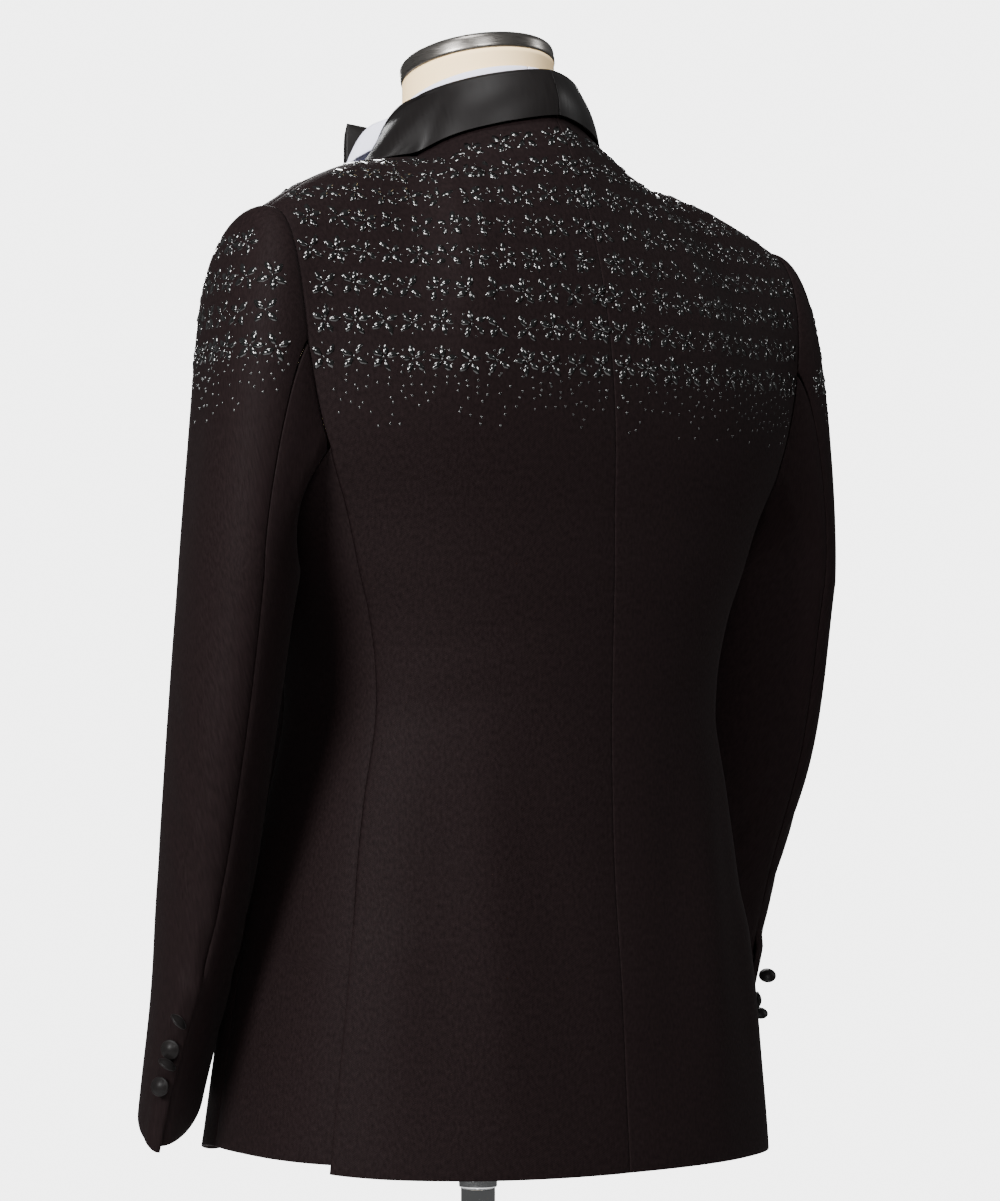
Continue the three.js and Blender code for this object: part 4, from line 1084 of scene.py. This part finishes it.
def buttonProfile(radius, shank):
    # Radius and height from the foot of the shank, over the rim, to the middle of the dome.
    t = np.linspace(0, 1, 9)
    rim = radius * 0.13
    rimR = radius - rim + rim * np.sin(np.pi * t)
    rimZ = shank + rim - rim * np.cos(np.pi * t)
    dome = np.linspace(1, 0, 10)[1:]
    domeR = (radius - rim) * dome
    domeZ = shank + 2 * rim + radius * 0.34 * (1 - dome**2)
    r = np.concatenate(([radius * 0.3, radius * 0.26, radius * 0.3], rimR, domeR[:-1], [0.02]))
    z = np.concatenate(([0, shank * 0.5, shank], rimZ, domeZ[:-1], [domeZ[-1]]))
    return r, z


def turned(r, z, around):
    # The profile turned about Z: x = r sin, y = r cos.
    turn = np.linspace(0, 2 * np.pi, around, endpoint=False)[None, :]
    return point(r[:, None] * np.sin(turn), r[:, None] * np.cos(turn), z[:, None] + 0 * turn)


def axesFrom(normal, towards):
    # Three directions at right angles: along the surface twice, and out of it.
    normal = unit(normal)
    first = unit(towards - normal * dot(towards, normal))
    return np.stack((first, np.cross(normal, first), normal), axis=-2)


def coveredButton(name, foot, axis, radius, shank, nodeName):
    r, z = buttonProfile(radius, shank)
    points = turned(r, z, 40) @ axesFrom(axis, np.array((0.1, 0.2, 1.0))) + foot + (0, 0, jacket["hem"])
    finishPiece(closedSurface(name, points, satin), "black_satin", nodeName)


def cuffButtonPlace(i):
    # The shank's foot and the button's axis, on the top sleeve beside its vent. A button that has flopped
    # over stands on its rim.
    across, crown, radius = buttons["across"], sleeve["crown"], buttons["radius"]
    lowest = topSleeve(across, 1)[2]
    along = crown + (1 - crown) * (sleeve["topUp"] - buttons["z"][i]) / (sleeve["topUp"] - lowest)
    spot = topSleeve(across, along)
    level = np.array(spot[2])
    normal = unit(spot - (sleeveSection(np.array(0.0), level) + sleeveSection(np.array(0.5), level)) / 2)
    tip, toward = math.radians(buttons["tip"][i]), math.radians(buttons["toward"][i])
    roundWay = np.array((-normal[1], normal[0], 0))
    leaning = roundWay * math.cos(toward) + np.array((0, 0, math.sin(toward)))
    axis = normal * math.cos(tip) + leaning * math.sin(tip)
    if buttons["tip"][i] < 45:
        return spot + normal * buttons["clear"], axis
    middle = spot + normal * (radius * math.sin(tip) + 2 * buttons["clear"])
    return middle - axis * (buttons["shank"][i] + 0.2 * radius), axis


def makeButtons():
    for name, side in sides.items():
        for i in range(4):
            foot, axis = cuffButtonPlace(i)
            coveredButton(
                f"cuff_button_{name}_{i + 1}_satin", mirrored(foot, side), mirrored(axis, side),
                buttons["radius"], buttons["shank"][i], f"cuff_button_{name}_{i + 1}",
            )
    front = ringPoint(bodyRings, np.array(180.0), np.array(float(jacket["buttonUp"])))
    foot = np.array((0, front[1] - buttons["clear"], jacket["buttonUp"]))
    coveredButton(
        "front_button_satin", foot, np.array((0, -1.0, 0)), buttons["frontRadius"], buttons["frontShank"],
        "front_button",
    )


makeButtons()
print("buttons made")


# Beadwork over the shoulders: rows of flowers cut from black glass, and loose beads that thin out below.
# from is the lowest row's height and loose the rows of beads under it, with the share of beads kept.
beadwork = {
    "rowGap": 24.5,
    "pitch": 21,
    "shift": 5,
    "jitter": 1.6,
    "petalLong": 9,
    "petalWide": 4.7,
    "petalHigh": 2.4,
    "petalStart": 1.5,
    "petalUp": 0.3,
    "bead": 2.5,
    "smallBead": 2.1,
    "fourPetals": 0.6,
    "besideKept": 0.85,
    "loose": (11, 17, 23, 29, 36, 44),
    "kept": (0.95, 0.9, 0.8, 0.6, 0.4, 0.2),
    "loosePitch": 8,
    "collarGap": 10,
    "seed": 41,
}


def sleeveUp(u, v, side=1):
    return topSleeve(u, 1 - v)


def backRoom(u, p):
    # How high on the back a row may go: the collar's edge, or the shoulder seam beyond the collar.
    return np.where(u < collarEdge["across"][-1], read(collarEdge, "across", "v", u), 0.9995)


def frontRoom(u, p):
    # All the way up, but only outside the lapel.
    width = read(lapelWidths, "z", "width", np.clip(p[..., 2], 352, 694)) + beadwork["collarGap"]
    away = np.linalg.norm(p - frontSurface(1, 0.999), axis=-1)
    return np.where((np.abs(p[..., 0]) > 62 + 0.12 * (694 - p[..., 2])) & (away > width * 0.9), 1, 0)


def sleeveRoom(u, p):
    return 1 + 0 * u


# Each beaded panel: its surface, the height of its lowest row, the parts of u and v that carry rows, the
# margins in millimetres at the start, the end and the top of a row's run, and how high the rows may go.
beadedPanels = {
    "back": {
        "surface": backSurface, "from": 544, "low": 0.62, "margins": (-4, 9, 8),
        "room": backRoom, "first": 10.5,
    },
    "front": {
        "surface": frontSurface, "from": 546, "low": 0.6, "margins": (9, 9, 8),
        "room": frontRoom, "first": 11,
    },
    "top_sleeve": {
        "surface": sleeveUp, "from": 549, "low": 0.66, "margins": (6, 6, 22),
        "room": sleeveRoom, "first": 8,
    },
}


def beadTemplate():
    # A ball of six sides set a little into the cloth: four rings and a point above, closed below.
    turn = np.arange(6) * np.pi / 3
    profile = ((0.3, -0.1), (0.48, 0.2), (0.46, 0.5), (0.26, 0.74))
    rings = [point(r * np.cos(turn), r * np.sin(turn), z) for r, z in profile]
    return np.concatenate(rings + [np.array(((0, 0, -0.1), (0, 0, 0.82)))]), 4, 6


def petalTemplate():
    # A pointed oval 1 long and 1 wide about its middle. The outline's half width is sin(pi x)^0.8 / 2, in
    # rings for the foot, the rim's two sides, the groove within it and the dome of the stone.
    turn = np.arange(8) * np.pi / 4
    x = 0.5 - 0.5 * np.cos(turn)
    y = np.sin(np.pi * x) ** 0.8 / 2 * np.sign(np.sin(turn) + 1e-9)
    profile = ((1, -0.2), (1.04, 0.4), (0.93, 0.6), (0.76, 0.4), (0.42, 0.76))
    rings = [point((x - 0.5) * wide, y * wide, high) for wide, high in profile]
    return np.concatenate(rings + [np.array(((0, 0, -0.2), (0, 0, 0.88)))]), 5, 8


def copies(template, middles, axes):
    # The template set down at each place: middle + x a + y b + z c for the place's own a, b and c.
    corners, rings, around = template
    number = np.arange(rings * around).reshape(rings, around)
    beside = np.roll(number, -1, axis=1)
    quads = np.stack((number[:-1], beside[:-1], beside[1:], number[1:]), -1).reshape(-1, 4)
    foot = np.stack((np.full(around, rings * around), beside[0], number[0]), -1)
    head = np.stack((np.full(around, rings * around + 1), number[-1], beside[-1]), -1)
    fans = np.concatenate((foot, head))
    points = middles[:, None, :] + np.einsum("kj,njc->nkc", corners, axes)
    step = np.arange(len(middles))[:, None, None] * len(corners)
    return points.reshape(-1, 3), (quads + step).reshape(-1, 4), (fans + step).reshape(-1, 3)


def columnGrid(plan, side):
    # Points of the panel's upper part, with each one's distance up its column from the lowest row. Columns
    # that end below that row are put out of reach.
    u, v = np.linspace(0, 1, 121), np.linspace(plan["low"], 1, 161)
    points = plan["surface"](u[None, :], v[:, None], side)
    up = arcLengths(points, 0)
    above = points[..., 2] >= plan["from"]
    up = up - np.take_along_axis(up, np.argmax(above, axis=0)[None, :], axis=0)
    up = np.where(above.any(axis=0), up, up - 2 * np.max(up))
    return {"u": u, "v": v, "points": points, "up": up}


def rowAt(grid, height):
    # Where each column reaches this distance up, and how far along the row that is.
    index = np.clip(np.argmax(grid["up"] >= height, axis=0), 1, len(grid["v"]) - 1)
    columns = np.arange(len(grid["u"]))
    low, high = grid["up"][index - 1, columns], grid["up"][index, columns]
    t = np.clip((height - low) / (high - low), 0, 1)
    v = mix(grid["v"][index - 1], grid["v"][index], t)
    row = mix(grid["points"][index - 1, columns], grid["points"][index, columns], t[:, None])
    return v, arcLengths(row, 0), grid["up"][-1]


def placesOn(plan, grid, height, pitch, first, chance, margin):
    # Places along one row, a pitch apart with a little seeded disorder, kept inside the panel's margins.
    v, run, top = rowAt(grid, height)
    start, end, above = plan["margins"]
    across = np.arange(first, run[-1] - end, pitch)
    across = across + chance.normal(0, beadwork["jitter"] * 0.5, len(across))
    across = across[(across > start) & (across < run[-1] - end)]
    u = np.interp(across, run, grid["u"])
    at = np.interp(across, run, v) + chance.normal(0, beadwork["jitter"] * 0.4, len(across)) / 700
    p = plan["surface"](u, at, 1)
    clear = (np.interp(u, grid["u"], top) - height > above) & (at < plan["room"](u, p) - margin / 660)
    return u[clear], at[clear]


def framesOn(plan, u, v, side):
    # The point on the cloth, three directions there (across, up and out) and the surface's two slopes.
    step = 0.004
    p = plan["surface"](u, v, side)
    slopeU = (plan["surface"](u + step, v, side) - plan["surface"](u - step, v, side)) / (2 * step)
    slopeV = (plan["surface"](u, v + step, side) - plan["surface"](u, v - step, side)) / (2 * step)
    up = unit(slopeV)
    out = unit(np.cross(up, slopeU)) * (1 if plan["surface"] is sleeveUp else -1)
    first = unit(np.cross(up, out))
    return {"u": u, "v": v, "p": p, "first": first, "up": up, "out": out, "slopes": (slopeU, slopeV)}


def besideOn(plan, at, x, y, side):
    # The frame x across and y up from another one: steps in u and v from the surface's slopes there.
    slopeU, slopeV = at["slopes"]
    stepU = x / dot(slopeU, at["first"])[:, 0]
    stepV = (y - stepU * dot(slopeU, at["up"])[:, 0]) / length(slopeV)[:, 0]
    u, v = (np.clip(at[key] + step, 0.005, 0.995) for key, step in (("u", stepU), ("v", stepV)))
    return framesOn(plan, u, v, side)


def flat(direction, out):
    # The direction laid down into the plane whose normal is out.
    return unit(direction - out * dot(direction, out))


def beadFrames(at):
    # The three directions of a frame as the rows of a matrix.
    return np.stack((at["first"], at["up"], at["out"]), axis=1)


def makeBeadwork(kind, name, side, chance):
    plan = beadedPanels[kind]
    grid = columnGrid(plan, side)
    flowerU, flowerV = [], []
    for k in range(12):
        shift = chance.uniform(-1, 1) * beadwork["shift"] * (k > 0)
        first = plan["first"] + shift
        u, v = placesOn(plan, grid, k * beadwork["rowGap"], beadwork["pitch"], first, chance, 9.5)
        flowerU.append(u)
        flowerV.append(v)
    beadU, beadV = [], []
    for below, kept in zip(beadwork["loose"], beadwork["kept"]):
        first = chance.uniform(1, beadwork["loosePitch"])
        u, v = placesOn(plan, grid, -below, beadwork["loosePitch"], first, chance, 3)
        stay = chance.random(len(u)) < kept
        beadU.append(u[stay])
        beadV.append(v[stay] + chance.uniform(-2.4, 2.4, np.sum(stay)) / 700)
    at = framesOn(plan, np.concatenate(flowerU), np.concatenate(flowerV), side)
    flowers = len(at["u"])
    four = chance.random(flowers) < beadwork["fourPetals"]
    lean = chance.normal(0, 0.16, flowers)
    petals, beads = [], []
    size = chance.uniform(0.9, 1.08, (flowers, 5, 1))
    tilt, sideTilt = chance.normal(0.02, 0.07, (flowers, 5, 1)), chance.normal(0, 0.14, (flowers, 5, 1))
    for k in range(5):
        turn = np.where(four, math.pi / 4 + k * math.pi / 2, math.pi / 2 + k * math.tau / 5) + lean
        turn = turn + chance.normal(0, 0.08, flowers)
        use = ~four | (k < 4)
        middle = beadwork["petalStart"] + beadwork["petalLong"] / 2
        spot = besideOn(plan, at, middle * np.cos(turn), middle * np.sin(turn), side)
        out = spot["out"]
        along = flat(at["first"] * np.cos(turn)[:, None] + at["up"] * np.sin(turn)[:, None], out)
        beside = np.cross(out, along)
        frame = np.stack(
            (
                (along + out * tilt[:, k]) * beadwork["petalLong"] * size[:, k],
                (beside + out * sideTilt[:, k]) * beadwork["petalWide"] * size[:, k],
                (out - along * tilt[:, k] - beside * sideTilt[:, k]) * beadwork["petalHigh"],
            ),
            axis=1,
        )
        petals += [(spot["p"] + out * beadwork["petalUp"])[use], frame[use]]
        turn = turn + np.where(four, math.pi / 4, math.pi / 5)
        use = use & (chance.random(flowers) < beadwork["besideKept"])
        away = chance.uniform(6.6, 9.4, flowers)
        spot = besideOn(plan, at, away * np.cos(turn), away * np.sin(turn), side)
        beads += [spot["p"][use], beadFrames(spot)[use] * beadwork["smallBead"]]
    beads += [at["p"], beadFrames(at) * beadwork["bead"]]
    at = framesOn(plan, np.concatenate(beadU), np.concatenate(beadV), side)
    beads += [at["p"], beadFrames(at) * beadwork["bead"]]
    stones, quads, fans = copies(petalTemplate(), *(np.concatenate(petals[k::2]) for k in (0, 1)))
    small, smallQuads, smallFans = copies(beadTemplate(), *(np.concatenate(beads[k::2]) for k in (0, 1)))
    points = mirrored(np.concatenate((stones, small)), side) + (0, 0, jacket["hem"])
    both = (quads, smallQuads), (fans, smallFans)
    faces = [np.concatenate((large, little + len(stones))) for large, little in both]
    piece = meshFrom(f"beadwork_{kind}_{name}", points, facesOut(points, faces), jet)
    finishPiece(piece, "black_satin")
    return flowers


chance = np.random.default_rng(beadwork["seed"])
flowerCount = 0
for kind in beadedPanels:
    for name, side in sides.items():
        flowerCount += makeBeadwork(kind, name, side, chance)
print("beadwork made,", flowerCount, "flowers")


# The dress form and its stand
form = {
    "neckRadius": 54,
    "capTilt": 13,
    "capUp": 762,
    "torsoFoot": 62,
    "torsoTop": 700,
    "poleRadius": 12.2,
    "ferruleRadius": 13.6,
    "ferruleFoot": -27,
    "baseRadius": 190,
    "baseThick": 12,
    "collarHigh": 14,
}
torsoRings = {
    "z": (62, 80, 130, 205, 311, 379, 445, 520, 560, 600, 640, 672, 700),
    "half": (168, 177, 180, 166, 145, 156, 182, 182, 166, 128, 78, 52, 51),
    "back": (118, 126, 122, 110, 101, 102, 104, 103, 96, 80, 60, 52, 51),
    "front": (118, 124, 126, 124, 120, 126, 128, 112, 92, 70, 54, 51, 51),
    "mid": (20, 21, 25, 30, 36, 37, 37, 37, 35, 28, 12, 1, 0),
}


def roundCorners(corners, radius, steps=5):
    # Each inner corner of the profile gives way to a quadratic curve that starts and ends a radius from it.
    r, z = [corners[0][0]], [corners[0][1]]
    t = np.linspace(0, 1, steps)
    for before, corner, after in zip(corners[:-2], corners[1:-1], corners[2:]):
        corner = np.array(corner, float)
        into, onto = np.array(before) - corner, np.array(after) - corner
        start = corner + into * min(radius / np.linalg.norm(into), 0.45)
        end = corner + onto * min(radius / np.linalg.norm(onto), 0.45)
        curve = np.outer((1 - t) ** 2, start) + np.outer(2 * t * (1 - t), corner) + np.outer(t**2, end)
        r.extend(curve[:, 0])
        z.extend(curve[:, 1])
    r.append(corners[-1][0])
    z.append(corners[-1][1])
    return np.array(r), np.array(z)


def turnedPiece(name, corners, radius, around, material, slot, node, low=0, tilt=0.0):
    # A rounded profile turned about the upright axis, tilted about X and lifted to its place.
    r, z = roundCorners(corners, radius)
    points = turned(np.maximum(r, 0.02), z, around)
    lean = math.radians(tilt)
    y = points[..., 1] * math.cos(lean) - points[..., 2] * math.sin(lean)
    up = points[..., 1] * math.sin(lean) + points[..., 2] * math.cos(lean)
    piece = closedSurface(name, point(points[..., 0], y, up + low), material)
    finishPiece(piece, slot, node)


def makeForm():
    hem = jacket["hem"]
    z = np.concatenate(([62, 62.4, 64, 67], np.linspace(72, form["torsoTop"], 90)))
    swell = np.concatenate(([9, 5, 2, 0.5], np.zeros(90)))
    around = np.linspace(0, 360, 128, endpoint=False)[None, :]
    points = ringPoint(torsoRings, around, z[:, None], swell[:, None]) + (0, 0, hem)
    piece = closedSurface("form_torso_jersey", points, jersey)
    finishPiece(piece, "form_cloth", "form_torso")
    foot = form["torsoTop"] + 0.3
    lean = math.tan(math.radians(form["capTilt"]))
    share = np.linspace(0, 1, 26)[:, None]
    turn = np.linspace(0, 2 * np.pi, 96, endpoint=False)[None, :]
    x, y = form["neckRadius"] * np.sin(turn), form["neckRadius"] * np.cos(turn)
    points = point(x + 0 * share, y + 0 * share, mix(foot, form["capUp"] - 0.3 + y * lean, share) + hem)
    piece = closedSurface("form_neck_jersey", points, jersey)
    finishPiece(piece, "form_cloth", "form_neck")
    turnedPiece(
        "neck_cap_metal", ((0, 0), (54.6, 0), (55.5, 1.5), (55.5, 9), (54.2, 11.4), (50.5, 13), (0, 14.2)),
        2, 96, smoked, "smoked_metal", "neck_cap", hem + form["capUp"], form["capTilt"],
    )
    radius, foot = form["ferruleRadius"], form["ferruleFoot"]
    top = form["torsoFoot"] - 0.3
    turnedPiece(
        "ferrule_metal", ((0, foot), (radius, foot), (radius, top), (0, top)),
        1.2, 64, chrome, "chrome_metal", "ferrule", hem,
    )
    radius, foot = form["poleRadius"], form["baseThick"] + form["collarHigh"] + 0.3
    top = hem + form["ferruleFoot"] - 0.3
    turnedPiece(
        "pole_metal", ((0, foot), (radius, foot), (radius, top), (0, top)),
        1, 64, chrome, "chrome_metal", "pole",
    )
    radius, thick = form["baseRadius"], form["baseThick"]
    corners = (
        (0, 0), (radius - 1, 0), (radius, 1.5), (radius, 8), (radius - 5, thick), (30, thick + 1.5),
        (24, thick + form["collarHigh"]), (0, thick + form["collarHigh"]),
    )
    turnedPiece("base_metal", corners, 3, 128, chrome, "chrome_metal", "base")


makeForm()
print("dress form made")


# Stage and lights
studio = {
    "floorRadius": 2100,
    "paper": (1, 1, 1),
    "paperStrength": 4.8,
    "roomStrength": 0.13,
    "lights": {
        "key": {"from": (2700, 900, 2100), "size": 1000, "power": 210},
        "back": {"from": (1300, 2500, 2600), "size": 900, "power": 80},
        "top": {"from": (900, 500, 3300), "size": 900, "power": 55},
        "rim": {"from": (-2300, 900, 2500), "size": 600, "power": 16},
        "front": {"from": (-1500, -2300, 2100), "size": 1500, "power": 110},
    },
    "lookAt": (0, 0, 1200),
}


def makeStudio():
    turn = np.linspace(0, 2 * np.pi, 96, endpoint=False)
    radius = studio["floorRadius"]
    ring = point(radius * np.sin(turn), radius * np.cos(turn), 0)[::-1]
    paper = makeMaterial("pale_floor", {
        "noises": {"cloud": ("Object", 2)},
        "colour": ("cloud", (0.80, 0.80, 0.80), (0.82, 0.82, 0.82)),
        "fixed": {"Roughness": 0.9},
    })
    meshFrom("floor", ring, [np.arange(96)[None, :]], paper, None, False)
    world = bpy.data.worlds.new("studio")
    world.use_nodes = True
    nodes, links = world.node_tree.nodes, world.node_tree.links
    seen = nodes["Background"]
    seen.inputs["Color"].default_value = (*studio["paper"], 1)
    seen.inputs["Strength"].default_value = studio["paperStrength"]
    room = nodes.new("ShaderNodeBackground")
    room.inputs["Color"].default_value = (*studio["paper"], 1)
    room.inputs["Strength"].default_value = studio["roomStrength"]
    path = nodes.new("ShaderNodeLightPath")
    either = nodes.new("ShaderNodeMixShader")
    links.new(path.outputs["Is Camera Ray"], either.inputs["Fac"])
    links.new(room.outputs["Background"], either.inputs[1])
    links.new(seen.outputs["Background"], either.inputs[2])
    links.new(either.outputs["Shader"], nodes["World Output"].inputs["Surface"])
    bpy.context.scene.world = world
    for name, plan in studio["lights"].items():
        data = bpy.data.lights.new(name, "AREA")
        data.shape = "DISK"
        data.size = plan["size"] * metre
        data.energy = plan["power"]
        light = bpy.data.objects.new(name, data)
        light.location = [value * metre for value in plan["from"]]
        gaze = (np.array(studio["lookAt"]) - plan["from"]) * metre
        across = math.hypot(gaze[0], gaze[1])
        light.rotation_euler = (math.atan2(across, -gaze[2]), 0, math.atan2(gaze[1], gaze[0]) - math.pi / 2)
        bpy.context.scene.collection.objects.link(light)


makeStudio()
print("studio made")
